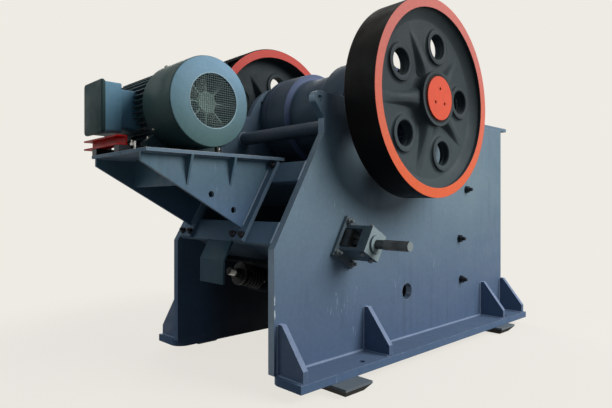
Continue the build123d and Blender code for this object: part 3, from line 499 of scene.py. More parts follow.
def inner_painted_shade(tree, place):
    """Painted shade low down between the plates, darker further in from the rear outline."""
    axes = put(tree, "SeparateXYZ", {0: place}).outputs
    away = vector_maths(tree, "SUBTRACT", place, SLOT)[0]
    thrust = vector_maths(tree, "DOT_PRODUCT", away, ALONG_THRUST)["Value"]
    depth = maths(tree, "MINIMUM", maths(tree, "SUBTRACT", thrust, REAR_FACE_U),
                  maths(tree, "SUBTRACT", axes["X"], REAR_X))
    between = ramp(tree, maths(tree, "ABSOLUTE", axes["Y"]), PLATE_INNER + 0.004, PLATE_INNER + 0.001)
    low = ramp(tree, axes["Z"], 1.25, 0.95)
    behind = ramp(tree, axes["X"], 0.6, 0.2)
    return times(tree, between, low, behind, ramp(tree, depth, 0.16, 0.62, 0.0, 0.9))


def painted(name, paint, shade, low=None, bare=None, gloss=0.5, shine=0.2, edge=0.0, streak=0.0, dust=0.0,
            scuff=0.0, dust_tone=DUST_GREY, rear=0.0, top=1.7, foot=0.1, chips=None, bright_end=None,
            shade_inside=False, ends=None):
    """Paint on steel: two shades, another low down, and where they are asked for: streaks, settled dust,
    scuffs and edges worn to the bare colour, rear faces lightened as painted bounce light, a second colour
    on faces that look along the shafts (a painted highlight on the jaw), chips between two heights, a lighter
    outer end that is partly painted light, and painted shade inside the machine."""
    material, tree, shader = new_material(name, shine)
    place = object_place(tree)
    skin = sprayed(tree, paint, shade, low or shade, top, foot, gloss)
    colour = skin["Colour"]
    rough = skin["Roughness"]
    normal = None
    if ends:
        across = maths(tree, "ABSOLUTE", face_part(tree, "Y"))
        colour = mixed(tree, ramp(tree, across, 0.5, 0.9), colour, ends)
    effects = ((STREAKS, streak, OIL, 0.25), (SCUFFS, scuff, bare, 0), (DUST, dust, dust_tone, 0.4),
               (REAR_LIGHT, rear, bare, 0))
    for group, amount, tone, dulled in effects:
        if amount:
            mask = masked(tree, group, amount)
            colour = mixed(tree, mask, colour, tone)
            rough = maths(tree, "ADD", rough, times(tree, mask, dulled))
    if edge:
        worn = use_group(tree, EDGES, Width=EDGE_WIDTH, Amount=edge)
        colour = mixed(tree, worn["Mask"], colour, bare)
        normal = worn["Normal"]
    if chips:
        colour = mixed(tree, corner_chips(tree, place, *chips), colour, CHIP)
    if shade_inside:
        colour = mixed(tree, inner_painted_shade(tree, place), colour, INNER_SHADE)
    if bright_end:
        colour = mixed(tree, outer_end(tree, place, bright_end), colour, RUBBED_AND_LIT_END)
    shaded(tree, shader, colour, rough, bumped(tree, skin["Height"], 0.10, 0.002, normal))
    return material


def metal(name, tone, dark, rough, rust, grain=(220, 8, 220), bright_end=None):
    """Machined or rolled steel: grain drawn along one axis, dull patches, a little rust, and a bright outer
    end where its level is given."""
    material, tree, shader = new_material(name)
    place = object_place(tree)
    lines = noise(tree, stretched(tree, place, grain), 1.0, 3)
    patch = ramp(tree, noise(tree, place, 9, 5, 0.6), 0.35, 0.7)
    colour = mixed(tree, patch, tone, dark)
    colour = mixed(tree, ramp(tree, lines, 0.3, 0.7, 0.0, 0.22), colour, dark)
    spots = times(tree, ramp(tree, noise(tree, place, 30, 7, 0.7), 0.50, 0.68), rust)
    colour = mixed(tree, spots, colour, RUST)
    if bright_end:
        colour = mixed(tree, outer_end(tree, place, bright_end), colour, STEEL_END)
    uneven = ramp(tree, lines, 0.2, 0.8, rough - 0.08, rough + 0.1)
    roughness = maths(tree, "ADD", uneven, times(tree, spots, 0.4))
    shaded(tree, shader, colour, roughness, bumped(tree, lines, 0.08, 0.001))
    tree.links.new(maths(tree, "SUBTRACT", 1.0, spots), shader.inputs["Metallic"])
    return material


def rubber(name, tone, worn):
    """Black rubber: matt, with a pale bloom in patches and a fine skin."""
    material, tree, shader = new_material(name, 0.2)
    place = object_place(tree)
    bloom = ramp(tree, noise(tree, place, 8, 6, 0.7), 0.42, 0.75, 0.0, 0.6)
    roughness = ramp(tree, noise(tree, place, 40, 3), 0.3, 0.7, 0.68, 0.9)
    skin = bumped(tree, noise(tree, place, 320, 2), 0.2, 0.001)
    shaded(tree, shader, mixed(tree, bloom, tone, worn), roughness, skin)
    return material


def wheel_paint():
    """Flywheel: charcoal casting, black rim, a painted shadow round the hub cap, and a red band on both flat
    faces of the rim, which turns to orange lower down."""
    material, tree, shader = new_material("wheel_finish", 0.06)
    place = object_place(tree)
    across = axis_part(tree, place, "Y")
    # The casting is painted darker towards the top and lighter towards the bottom: painted shade and light.
    cast = sprayed(tree, (57, 64, 66), (51, 57, 60), (67, 76, 79), 2.7, 1.6, 0.46)
    ragged = times(tree, maths(tree, "SUBTRACT", noise(tree, place, 30, 3), 0.5), 0.004)
    radius = maths(tree, "ADD", line_distance(tree, place, (0, 0, SHAFT_Z), ROUND_Y), ragged)
    from_middle = maths(tree, "SUBTRACT", maths(tree, "ABSOLUTE", across), RIM_MIDDLE)
    on_face = ramp(tree, maths(tree, "ABSOLUTE", from_middle), RIM_HALF - 0.0004, RIM_HALF + 0.0003)
    band = times(tree, ramp(tree, radius, RIM_INNER - 0.0025, RIM_INNER - 0.0015), on_face)
    rim = ramp(tree, radius, BLACK_START, BLACK_START + 0.005)
    # Painted shadow of the hub cap on the hub.
    cap_shadow = times(tree, ramp(tree, radius, CAP_SHADOW_END, CAP_SHADOW_END - 0.006), 0.8)
    colour = mixed(tree, cap_shadow, cast["Colour"], (24, 16, 16))
    colour = mixed(tree, rim, colour, (9, 9, 9))
    # The band's upper colour differs between the near and the far wheel: painted light and shade on two
    # copies of one paint.
    high = mixed(tree, ramp(tree, across, -0.1, 0.1), (194, 112, 103), (202, 88, 80))
    red = sprayed(tree, high, high, (228, 106, 70), 2.8, 1.4, 0.45)
    colour = mixed(tree, band, colour, red["Colour"])
    worn = use_group(tree, EDGES, Width=EDGE_WIDTH, Amount=0.30)
    colour = mixed(tree, worn["Mask"], colour, (124, 122, 118))
    grain = noise(tree, place, 90, 4, 0.6)
    peel = maths(tree, "ADD", cast["Height"], times(tree, grain, 2.0))
    skin = bumped(tree, peel, 0.14, 0.003, worn["Normal"])
    shaded(tree, shader, colour, cast["Roughness"], skin)
    return material


def cowl_paint():
    """Motor cowl: light blue paint on its front, darker and greener towards the bottom, and a darker green on
    its round side; the darker bottom and the darker side are painted shade.
    """
    material, tree, shader = new_material("motor_finish", 0.08)
    reach = line_distance(tree, object_place(tree), MOTOR, ROUND_Y)
    side = ramp(tree, reach, COWL_RADIUS - 0.008, COWL_RADIUS - 0.001)
    front = sprayed(tree, (130, 163, 186), (120, 153, 170), (92, 120, 120), 2.45, 1.75, 0.5)
    # Darker green on the round side: painted shade.
    side_shade = sprayed(tree, (67, 91, 88), (60, 83, 80), (44, 61, 60), 2.25, 1.80, 0.5)
    colour = mixed(tree, side, front["Colour"], side_shade["Colour"])
    worn = use_group(tree, EDGES, Width=EDGE_WIDTH, Amount=0.35)
    colour = mixed(tree, worn["Mask"], colour, (156, 176, 184))
    colour = mixed(tree, masked(tree, DUST, 0.15), colour, DUST_GREY)
    skin = bumped(tree, front["Height"], 0.10, 0.002, worn["Normal"])
    shaded(tree, shader, colour, front["Roughness"], skin)
    return material


def pad_finish():
    """Machine pad: a grey steel plate on top of black rubber."""
    material, tree, shader = new_material("pad_finish", 0.2)
    place = object_place(tree)
    plate = ramp(tree, axis_part(tree, place, "Z"), RUBBER_TOP - 0.0005, RUBBER_TOP + 0.0005)
    steel = sprayed(tree, (104, 112, 118), (92, 100, 104), (104, 112, 118), 1, 0, 0.5)
    patch = ramp(tree, noise(tree, place, 9, 5), 0.4, 0.75)
    block = mixed(tree, patch, (26, 26, 27), (58, 57, 54))
    colour = mixed(tree, plate, block, steel["Colour"])
    skin = bumped(tree, steel["Height"], 0.12, 0.002)
    shaded(tree, shader, colour, ramp(tree, plate, 0, 1, 0.82, 0.5), skin)
    return material


FRAME_PAINT = painted(
    "frame_finish", (113, 133, 147), (103, 123, 140), (87, 108, 137), bare=(158, 170, 182), shine=0.08,
    edge=0.70, streak=0.22, dust=0.20, scuff=0.5, shade_inside=True)
# Rear faces lightened in patches: painted bounce light. The chips on the rear corner are wear.
NEAR_PLATE_PAINT = painted(
    "near_plate_finish", (110, 131, 142), (100, 121, 135), (85, 104, 131), bare=(200, 212, 224),
    edge=0.75, streak=0.22, dust=0.20, scuff=0.5, rear=0.95, chips=(0.53, 0.68), shade_inside=True)
# Pale blue dust on the slanted tops: settled dust and painted sky light together.
GUSSET_PAINT = painted(
    "gusset_finish", (106, 123, 140), (97, 114, 133), (84, 102, 128), bare=(168, 180, 200), edge=0.80,
    dust=0.85, dust_tone=(190, 205, 240))
# Outer end faces painted lighter: rubbed paint and painted light.
BRACKET_PAINT = painted(
    "wedge_bracket_finish", (92, 106, 114), (76, 88, 96), (82, 95, 106), bare=(158, 172, 174), edge=0.6,
    streak=0.5, scuff=0.4, bright_end=0.95)
ARM_PAINT = painted(
    "motor_arm_finish", (88, 116, 130), (82, 107, 120), (85, 110, 139), bare=(158, 170, 182), edge=0.70,
    streak=0.3, dust=0.20, scuff=0.5, foot=1.1)
# Beads painted lighter than the frame: painted highlight along the welds.
WELD_HIGHLIGHT_PAINT = painted("weld_highlight_finish", (150, 164, 178), (130, 145, 160), (128, 143, 168), gloss=0.42)
# The lavender on faces that look along the shafts is a painted highlight on the head's drums and steps.
JAW_PAINT = painted(
    "jaw_finish", (80, 94, 106), (68, 81, 94), (64, 77, 92), bare=(140, 152, 168), shine=0.1, edge=0.5,
    dust=0.15, scuff=0.3, ends=(114, 126, 158))
TUBE_PAINT = painted(
    "tube_finish", (100, 110, 120), (88, 98, 108), bare=(140, 152, 168), shine=0.1, edge=0.5, dust=0.15)
# Edges worn to near white, which is partly painted highlight along the plate's edges.
TOP_PAINT = painted(
    "motor_plate_finish", (113, 133, 147), (103, 123, 140), (87, 108, 137), bare=(222, 224, 220),
    shine=0.08, edge=1.0, streak=0.22, dust=0.20)
BOX_PAINT = painted(
    "box_finish", (109, 150, 172), (101, 140, 160), (100, 139, 157), bare=(130, 152, 160), shine=0.08,
    edge=0.45, top=2.3, foot=1.8)
# Lid painted darker and greener than the box: painted shade on the face that looks to the rear.
SHADED_LID_PAINT = painted(
    "shaded_lid_finish", (58, 78, 78), (50, 69, 69), (47, 64, 64), bare=(120, 138, 138), shine=0.05, edge=0.6,
    top=2.3, foot=1.8)
MESH_PAINT = painted("mesh_finish", (104, 120, 118), (92, 107, 105), shine=0.1)
# Lip painted lighter than the cowl: painted highlight round the fan guard.
LIP_HIGHLIGHT_PAINT = painted("lip_highlight_finish", (170, 194, 202), (150, 176, 184), (140, 166, 170))
# Blade sides painted near white as painted light inside the cowl; the faces along the shaft keep a darker
# colour.
LIT_FAN_PAINT = painted(
    "lit_fan_finish", (236, 246, 240), (226, 238, 232), bare=(200, 212, 208), shine=0.1, edge=0.3,
    ends=(150, 174, 164))
FIN_PAINT = painted("fin_finish", (70, 88, 92), (60, 76, 80), shine=0.1, dust=0.15)
RED_PAINT = painted("red_finish", (216, 82, 54), (208, 76, 50), bare=(170, 90, 76), gloss=0.45, edge=0.3)
DEEP_RED = painted(
    "adjuster_finish", (206, 22, 22), (184, 18, 18), bare=(120, 70, 66), gloss=0.42, shine=0.1, edge=0.4)
BLACK_STEEL = painted("bolt_finish", (38, 42, 48), (30, 33, 38), gloss=0.42, shine=0.15)
SPRING_BLACK = painted("spring_finish", (20, 21, 22), (15, 16, 17), gloss=0.55, shine=0.08)
DULL_STEEL = painted(
    "dull_bolt_finish", (112, 118, 120), (90, 96, 98), bare=(160, 164, 164), gloss=0.4, shine=0.4,
    edge=0.5)
# Rod painted near black as painted shade, with light worn edges that are painted highlights.
SHADED_ROD_PAINT = painted("shaded_rod_finish", (26, 27, 29), (20, 21, 22), bare=(196, 190, 172), shine=0.1, edge=0.7)
# Parts inside the frame painted darker than the frame: painted shade.
SHADED_INNER_PAINT = painted(
    "shaded_inner_finish", (52, 60, 66), (42, 49, 54), (40, 48, 56), bare=(104, 112, 118), shine=0.05, edge=0.3,
    dust=0.2, shade_inside=True)
# Guard between the plates painted darker than the frame: painted shade.
SHADED_GUARD_PAINT = painted(
    "shaded_guard_finish", (66, 91, 105), (60, 83, 95), (60, 83, 93), bare=(146, 158, 166), shine=0.06,
    edge=0.5, streak=0.2)
BRIGHT_STEEL = metal("bright_steel_finish", (176, 176, 172), (130, 130, 128), rough=0.34, rust=0.12)
SCREW_STEEL = metal(
    "screw_finish", (72, 78, 82), (54, 60, 64), rough=0.46, rust=0.15, grain=(90, 6, 90),
    bright_end=1.295)
WEAR_STEEL = metal("wear_finish", (108, 106, 104), (72, 70, 70), rough=0.48, rust=0.55, grain=(60, 60, 9))
BELT_RUBBER = rubber("belt_finish", (24, 24, 25), (62, 60, 58))
WHEEL_PAINT = wheel_paint()
COWL_PAINT = cowl_paint()
PAD_FINISH = pad_finish()

finishes = (
    (PAD_FINISH, "machine_pads"),
    (SHADED_INNER_PAINT, "thrust_wall beam_guides pull_rod_bracket"),
    (SHADED_GUARD_PAINT, "pull_rod_guard"),
    (NEAR_PLATE_PAINT, "near_side_plate"),
    (GUSSET_PAINT, "near_gussets far_gussets"),
    (BRACKET_PAINT, "near_wedge_bracket far_wedge_bracket"),
    (WEAR_STEEL, "fixed_jaw_plate moving_jaw_plate near_cheek_plate far_cheek_plate toggle_plate"),
    (JAW_PAINT, "near_bearing_housing far_bearing_housing moving_jaw toggle_beam"),
    (TUBE_PAINT, "cross_tube"),
    (TOP_PAINT, "motor_plate"),
    (SHADED_ROD_PAINT, "pull_rod"),
    (SPRING_BLACK, "pull_rod_spring"),
    (ARM_PAINT, "motor_bracket_plates"),
    (SCREW_STEEL, "near_wedge far_wedge"),
    (BRIGHT_STEEL, "eccentric_shaft motor_shaft"),
    (WHEEL_PAINT, "near_flywheel far_flywheel"),
    (RED_PAINT, "near_hub_cap far_hub_cap"),
    (DEEP_RED, "motor_adjuster"),
    (BLACK_STEEL, "motor_rails motor_pulley"),
    (FIN_PAINT, "motor_body"),
    (LIT_FAN_PAINT, "motor_fan"),
    (COWL_PAINT, "fan_cowl"),
    (BOX_PAINT, "terminal_box"),
    (BELT_RUBBER, "drive_belts"),
)
finish_of = {name: finish for finish, names in finishes for name in names.split()}
for name, solid in node.items():
    for holder in solid.material_slots:
        holder.material = finish_of.get(name, FRAME_PAINT)


# Places and axes shared by the pieces

NEAR_WAY = facing((0, -1, 0))
WHEEL_CENTRE = np.array((0, 0, SHAFT_Z))


def wheel_points(angle):
    """Points of an upright circle of radius one: the cosine along X and the sine along Z."""
    return np.stack((np.cos(angle), 0 * angle, np.sin(angle)), -1)


def rear_spot(u, y, v):
    """Point given along the thrust line, across, and up the slanted rear face."""
    return SLOT + u * ALONG_THRUST + y * ACROSS + v * UP_REAR


def solid_points(name):
    """The points of a solid."""
    solid = node[name].data
    places = np.zeros(len(solid.vertices) * 3, np.float32)
    solid.vertices.foreach_get("co", places)
    return places.reshape(-1, 3)


# Bolts

def cheek_bolts():
    """Nuts and stud ends that hold the cheek plates, three on each side plate."""
    places = [(x, -PLATE_OUTER, z) for x, z in ((1.289, 1.504), (1.145, 0.991), (1.177, 0.564))]
    return mirrored(spread(bolt(across=0.060, head=0.032, stud=0.036), places, NEAR_WAY))


def wedge_bracket_bolts():
    """Bolts in the corners of the wedge brackets' base plates and in the ends of their blocks."""
    base_y = -PLATE_OUTER - 0.030
    block_y = -PLATE_OUTER - 0.245
    block_half = 0.110
    base = [rear_spot(u, base_y, v) for u in (-0.102, 0.102) for v in (-0.140, 0.140)]
    shapes = [spread(bolt(across=0.046, head=0.024, stud=0.030), base, NEAR_WAY)]
    for side in SIDES:
        ends = [rear_spot(u, block_y, side * block_half) for u in (-0.058, 0.058)]
        shapes.append(spread(bolt(across=0.036, head=0.018), ends, facing(side * UP_REAR, ACROSS)))
    return mirrored(joined(*shapes))


def foot_bolts():
    """Bolts through the bracket's feet into the two rear beams, in pairs."""
    plates = (-0.2435, 0.4975)
    rows = (0.312, -0.3145)
    half_pair = 0.055
    places = [rear_spot(FOOT_U, y + side * half_pair, v) for y in plates for v in rows for side in SIDES]
    return spread(bolt(across=0.046, head=0.022, stud=0.018), places, facing(-ALONG_THRUST))


def motor_bolts():
    """Bolts in the motor's feet and at the ends of its rails, and one tall stud beside the near rail."""
    rails = (0.130, 0.530)
    foot_top = 1.811
    rail_top = 1.775
    plate_top = 1.725
    foot = [(x, y, foot_top) for x in (-1.918, -1.394) for y in rails]
    rail = [(x, y, rail_top) for x in (-2.045, -1.285) for y in rails]
    upright = facing((0, 0, 1), ACROSS)
    return joined(
        spread(bolt(across=0.036, head=0.019, stud=0.022), foot + rail, upright),
        spread(bolt(across=0.034, head=0.022, stud=0.055), [(-2.052, 0.062, plate_top)], upright),
    )


def housing_bolts():
    """Ring of bolts round both main bearing housings."""
    reach = 0.307
    housing_y = -0.740
    places = WHEEL_CENTRE + housing_y * ACROSS + reach * wheel_points(rounds(10) + 0.2)
    return mirrored(spread(bolt(across=0.038, head=0.022), places, NEAR_WAY))


add_piece("cheek_bolts", cheek_bolts(), BLACK_STEEL)
add_piece("wedge_bracket_bolts", wedge_bracket_bolts(), DULL_STEEL)
add_piece("foot_bolts", foot_bolts(), BLACK_STEEL)
add_piece("motor_bolts", motor_bolts(), BRIGHT_STEEL)
add_piece("housing_bolts", housing_bolts(), BLACK_STEEL)


# Welds

def foot_welds():
    """Beads along the base flanges and round the gussets."""
    flange_leg = 0.014
    leg = 0.011
    rear = REAR_X + 0.02
    front = 2.075
    beads = [weld_bead((rear, -PLATE_OUTER, FLANGE_TOP), (front, -PLATE_OUTER, FLANGE_TOP), flange_leg)]
    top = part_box("near_gussets")[1][2]
    toe = -PLATE_OUTER - FLANGE_REACH + 0.014
    gusset_faces = np.unique(np.round(solid_points("near_gussets")[:, 0], 3)).tolist()
    for x in gusset_faces:
        for end in ((x, -PLATE_OUTER, top), (x, toe, FLANGE_TOP)):
            beads.append(weld_bead((x, -PLATE_OUTER, FLANGE_TOP), end, leg))
    return mirrored(joined(*beads))


def bracket_welds():
    """Beads where the bracket plates meet their feet and the motor plate."""
    leg = 0.009
    foot_low_z = 1.180
    foot_high_z = 1.690
    plate_under = 1.700
    plate_ends = (-2.150, -1.040)
    tip = rear_spot(FOOT_U, 0, 0)
    low = (foot_low_z - tip[2]) / np.cos(LEAN)
    high = (foot_high_z - tip[2]) / np.cos(LEAN)
    beads = []
    for y in BRACKET_FACES:
        beads.append(weld_bead(rear_spot(FOOT_U, y, low), rear_spot(FOOT_U, y, high), leg))
        beads.append(weld_bead(*[(x, y, plate_under) for x in plate_ends], leg))
    return joined(*beads)


def beam_welds():
    """Beads where the rear bands and the cross tube meet the side plates."""
    band_half = 0.09
    tube_middle = (-0.641, -PLATE_INNER, 1.990)
    tube_radius = 0.064
    beads = []
    for v in BAND_ROWS:
        ends = [rear_spot(REAR_FACE_U, -PLATE_INNER, v + side * band_half) for side in SIDES]
        beads.append(weld_bead(*ends, 0.009))
    ring = turned((tube_radius, 0) + circle(0.011, 8), 40, True)
    beads.append(spread(ring, [tube_middle], facing(ACROSS)))
    return mirrored(joined(*beads))


add_piece("foot_welds", foot_welds(), WELD_HIGHLIGHT_PAINT, 60)
add_piece("bracket_welds", bracket_welds(), WELD_HIGHLIGHT_PAINT, 60)
add_piece("beam_welds", beam_welds(), WELD_HIGHLIGHT_PAINT, 60)


# Flywheel castings

WEB_OUT = 1.062
WEB_IN = 1.017
HUB_RADIUS = 0.228
COLLAR_RADIUS = 0.1455
LIP_RADIUS = 0.125
RIB_START = 0.205
RIB_END = 0.600
RIB_TIP = 0.650
SLOPE_START = 0.656
SUNK = 0.004
HOLE_REACH = 0.475
HOLE_ANGLES = np.radians(5 + 72 * np.arange(5))
RIB_ANGLES = HOLE_ANGLES + np.radians(36)


def hollow_corner(radius, size, outward, level, rise):
    """Closed profile of a concave corner: a quarter circle between a wall's radius and a flat's level."""
    bend = np.linspace(0, np.pi / 2, 8)
    across = outward * size
    up = rise * size
    arc = np.stack((radius + across * (1 - np.sin(bend)), level + up * (1 - np.cos(bend))), 1)
    sunk_wall = radius - outward * SUNK
    sunk_flat = level - rise * SUNK
    back = [(sunk_wall, level + up), (sunk_wall, sunk_flat), (radius + across, sunk_flat)]
    return np.concatenate((arc, back))


def rim_slope(level):
    """Closed profile of the wide slope from web to rim: the height is a power of the share of the way out."""
    tall = 0.058
    run = np.linspace(0, 1, 20)
    reach = SLOPE_START + (RIM_INNER - SLOPE_START) * run
    top = np.stack((reach, level - 0.0005 + tall * run ** 1.4), 1)
    wall = RIM_INNER + SUNK
    back = [(wall, level + tall - 0.001), (wall, level - SUNK), (SLOPE_START, level - SUNK)]
    return np.concatenate((top, back))


def hole_lip(level, rise):
    """Closed profile of a hole's thick round lip: a superellipse of power four round the collar."""
    angle = rounds(24)
    wide, tall = (np.sign(wave) * np.sqrt(np.abs(wave)) for wave in (np.cos(angle), np.sin(angle)))
    return np.stack((LIP_RADIUS + 0.0215 * wide, level + rise * (0.004 + 0.0225 * tall)), 1)


def cast_rib(angle, side, level, rise, root):
    """One rib as a smooth bump on the web: its height falls in a straight line from the hub to the rib's end.
    Across, it is crowned in the middle and runs out into the web by a smooth step that flares at the hub."""
    flare_size = 0.060
    film = 0.003
    reach = np.linspace(RIB_START, RIB_TIP, 40)[:, None]
    flare = flare_size * np.exp((RIB_START - reach) / flare_size)
    top = 0.026 + 0.30 * flare
    skirt = 0.034 + flare
    across = np.linspace(-1, 1, 37) * (top + skirt)
    step = np.clip((np.abs(across) - top) / skirt, 0, 1)
    fall = 1 - step * step * (3 - 2 * step)
    tall = root * np.clip((RIB_END - reach) / (RIB_END - HUB_RADIUS), 0, None)
    tip = film * np.clip((RIB_TIP - reach) / (RIB_TIP - RIB_END), 0, 1)
    crown = 0.005 * np.clip(1 - (across / top) ** 2, 0, 1) * np.clip(tall / 0.02, 0, 1)
    height = fall * (tall + tip + crown + film) - film
    under = np.full_like(reach, -2 * SUNK)
    across = np.concatenate((across, across[:, -1:], across[:, :1]), 1)
    height = np.concatenate((height, under, under), 1)
    ray = wheel_points(angle)
    cross = wheel_points(angle + np.pi / 2)
    out = side * ACROSS
    points = WHEEL_CENTRE + reach[:, :, None] * ray + across[:, :, None] * cross
    return lofted(points + (level + rise * height[:, :, None]) * out)


def wheel_castings(side):
    """Soft casting forms of one flywheel: lips round the holes, hollows at hub, rim and collars, and ribs."""
    axis = facing((0, side, 0))
    holes = WHEEL_CENTRE + HOLE_REACH * wheel_points(HOLE_ANGLES)
    shapes = []
    for level, rise, root in ((WEB_OUT, 1, 0.068), (WEB_IN, -1, 0.142)):
        rim_corner = rim_slope(level) if rise > 0 else hollow_corner(RIM_INNER, 0.045, -1, level, rise)
        for profile, steps, places in (
            (hole_lip(level, rise), 56, holes),
            (hollow_corner(COLLAR_RADIUS, 0.026, 1, level, rise), 56, holes),
            (hollow_corner(HUB_RADIUS, 0.050, 1, level, rise), 72, WHEEL_CENTRE),
            (rim_corner, 120, WHEEL_CENTRE),
        ):
            shapes.append(spread(turned(profile, steps, True), places, axis))
        shapes.extend(cast_rib(angle, side, level, rise, root) for angle in RIB_ANGLES)
    return joined(*shapes)


add_piece("near_wheel_casting", wheel_castings(-1), WHEEL_PAINT, 50, body="rotor")
add_piece("far_wheel_casting", wheel_castings(1), WHEEL_PAINT, 50, body="rotor")


# Motor cowl, grille and terminal box

GRILLE_RADIUS = 0.200
GRILLE_LEVEL = 0.358
CONE_LEVEL = 0.316
FAN_LEVEL = 0.256
COWL_REAR = -0.079
BOX_FACE = np.array((-2.216, 0.423, 2.071))


def cowl_sheet():
    """Fan cowl turned from sheet: straight side, round edge, cone and a rolled lip round the grille."""
    wall = 0.005
    edge = 0.013
    lip_radius = 0.006
    slope = np.arctan2(GRILLE_LEVEL - CONE_LEVEL, COWL_RADIUS - GRILLE_RADIUS)
    bend = np.linspace(0, np.pi / 2 - slope, 9)
    across = COWL_RADIUS - edge
    cone_there = GRILLE_LEVEL - (across - GRILLE_RADIUS) * np.tan(slope)
    along = cone_there - edge / np.cos(slope)
    arc = np.stack((np.cos(bend), np.sin(bend)), 1)
    outer = (across, along) + edge * arc
    inner = (across, along) + (edge - wall) * arc
    roll = np.linspace(0, np.pi, 9)
    rolled = lip_radius * np.stack((-np.sin(roll), np.cos(roll)), 1)
    lip = (GRILLE_RADIUS, GRILLE_LEVEL - lip_radius) + rolled
    start = [(COWL_RADIUS, COWL_REAR)]
    end = [(COWL_RADIUS - wall, COWL_REAR)]
    profile = np.concatenate((start, outer, lip, inner[::-1], end))
    return spread(turned(profile, 120, True), [MOTOR], NEAR_WAY)


def cowl_screws():
    """Screws that hold the cowl's side, spread round it and pointing out from the axis."""
    outward = wheel_points(np.radians((32, 120, 216, 328)))
    places = MOTOR + COWL_RADIUS * outward + (0, 0.030, 0)
    axes = np.stack([facing(direction, ACROSS) for direction in outward])
    return spread(bolt(across=0.022, head=0.009), places, axes)


def crossing_wires(radius, pitch, thickness):
    """Wire mesh cut to a disc: straight wires at even offsets both ways, and half of each wire's length is
    the root of the disc's radius squared less the offset squared."""
    count = int(radius / pitch)
    offset = pitch * (np.arange(-count, count) + 0.5)[:, None, None]
    half = np.sqrt(radius ** 2 - offset ** 2)
    section = circle(thickness, 6)
    ends = np.array((-1, 1))[:, None]
    wires = stacked(half * ends, offset + section[:, 0], section[:, 1])
    level = [lofted(wire) for wire in wires]
    upright = [lofted(wire[:, :, (1, 0, 2)] - (0, 0, 1.4 * thickness)) for wire in wires]
    return joined(*level, *upright)


def fan_mesh():
    """Fan guard: a square wire mesh in the mouth of the cowl."""
    wires = crossing_wires(GRILLE_RADIUS - 0.001, pitch=0.0163, thickness=0.0021)
    return spread(wires, [MOTOR - (0, GRILLE_LEVEL - 0.008, 0)], NEAR_WAY)


def mesh_ring():
    """Thin ring round the fan guard, painted light as a painted highlight."""
    ring = turned((GRILLE_RADIUS, GRILLE_LEVEL - 0.002) + circle(0.0035, 10), 120, True)
    return spread(ring, [MOTOR], NEAR_WAY)


def fan_hub_cap():
    """Pressed cap on the fan's hub: a shallow dish with a raised rim and a small hole in its middle."""
    reach = np.array((0.070, 0.072, 0.072, 0.069, 0.064, 0.060, 0.010, 0.009))
    level = FAN_LEVEL + np.array((-0.004, -0.002, 0.006, 0.008, 0.008, 0.005, 0.005, 0.001))
    return spread(turned(np.stack((reach, level), 1), 60), [MOTOR], NEAR_WAY)


def box_shell():
    """Terminal box: round-edged body and neck towards the motor."""
    body = rounded_block(half_width=0.158, half_height=0.186, length=0.130, corner=0.020, edge=0.004)
    neck = rounded_block(half_width=0.120, half_height=0.150, length=0.215, corner=0.018, edge=0.004)
    starts = ((body, 0.027), (neck, 0.155))
    return joined(*[spread(block, [BOX_FACE + (x, 0, 0)], facing((1, 0, 0))) for block, x in starts])


def box_lid():
    """Lid of the terminal box: a shallow block with wide round edges, and a screw sunk in each corner."""
    lid = rounded_block(half_width=0.1715, half_height=0.199, length=0.032, corner=0.030, edge=0.014)
    screws = [BOX_FACE + (0.0045, y, z) for y in (-0.142, 0.142) for z in (-0.170, 0.170)]
    return joined(
        spread(lid, [BOX_FACE], facing((1, 0, 0))),
        spread(bolt(across=0.016, head=0.004), screws, facing((-1, 0, 0))),
    )


cowl = add_piece("fan_cowl_sheet", cowl_sheet(), COWL_PAINT)
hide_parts("fan_cowl")
add_piece("fan_mesh", fan_mesh(), MESH_PAINT)
add_piece("mesh_ring", mesh_ring(), LIP_HIGHLIGHT_PAINT)
add_piece("fan_hub_cap", fan_hub_cap(), LIT_FAN_PAINT, body="motor_rotor")
add_piece("cowl_screws", cowl_screws(), BRIGHT_STEEL)
box = add_piece("terminal_box_shell", box_shell(), BOX_PAINT)
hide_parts("terminal_box")
add_piece("terminal_box_lid", box_lid(), SHADED_LID_PAINT)


# Moving jaw head

HEAD_Z = 2.205
WAIST_RADIUS = 0.393
DRUM_START = 0.245


def head_hollows():
    """Soft hollows where the waist of the jaw's head meets its two bearing drums."""
    ring = turned(hollow_corner(WAIST_RADIUS, 0.034, 1, DRUM_START, -1), 96, True)
    return joined(*[spread(ring, [(0, 0, HEAD_Z)], facing((0, side, 0))) for side in SIDES])


add_piece("jaw_head_hollows", head_hollows(), JAW_PAINT, 50, body="swing_jaw")


# Threads

ROD_RISE = np.radians(15.8)
ROD_WAY = np.array((-np.cos(ROD_RISE), 0, np.sin(ROD_RISE)))


def screw_thread(start, direction, length, radius, turns):
    """Round thread: the radius rises and falls with the distance along the screw less the turn round it."""
    depth = 0.0014
    around = rounds(28)
    run = np.linspace(0, 1, 7 * turns)[:, None]
    wave = np.cos(FULL_TURN * run * turns - around)
    swell = radius + depth * wave * np.clip(np.minimum(run, 1 - run) * 20, 0, 1)
    return lofted(start + polar(swell, around, length * run) @ facing(direction).T)


def adjusting_thread():
    """Thread on the near wedge's adjusting screw, outside its bracket."""
    start = np.array((SLOT[0], -1.070, SLOT[2]))
    return screw_thread(start, (0, -1, 0), length=0.232, radius=0.0376, turns=24)


def rod_thread():
    """Thread on the pull rod's rear end, whose middle is read from the solid's furthest points."""
    places = solid_points("pull_rod")
    along = places @ ROD_WAY
    end = places[along > along.max() - 1e-4].mean(0)
    return screw_thread(end - 0.060 * ROD_WAY, ROD_WAY, length=0.059, radius=0.0305, turns=9)


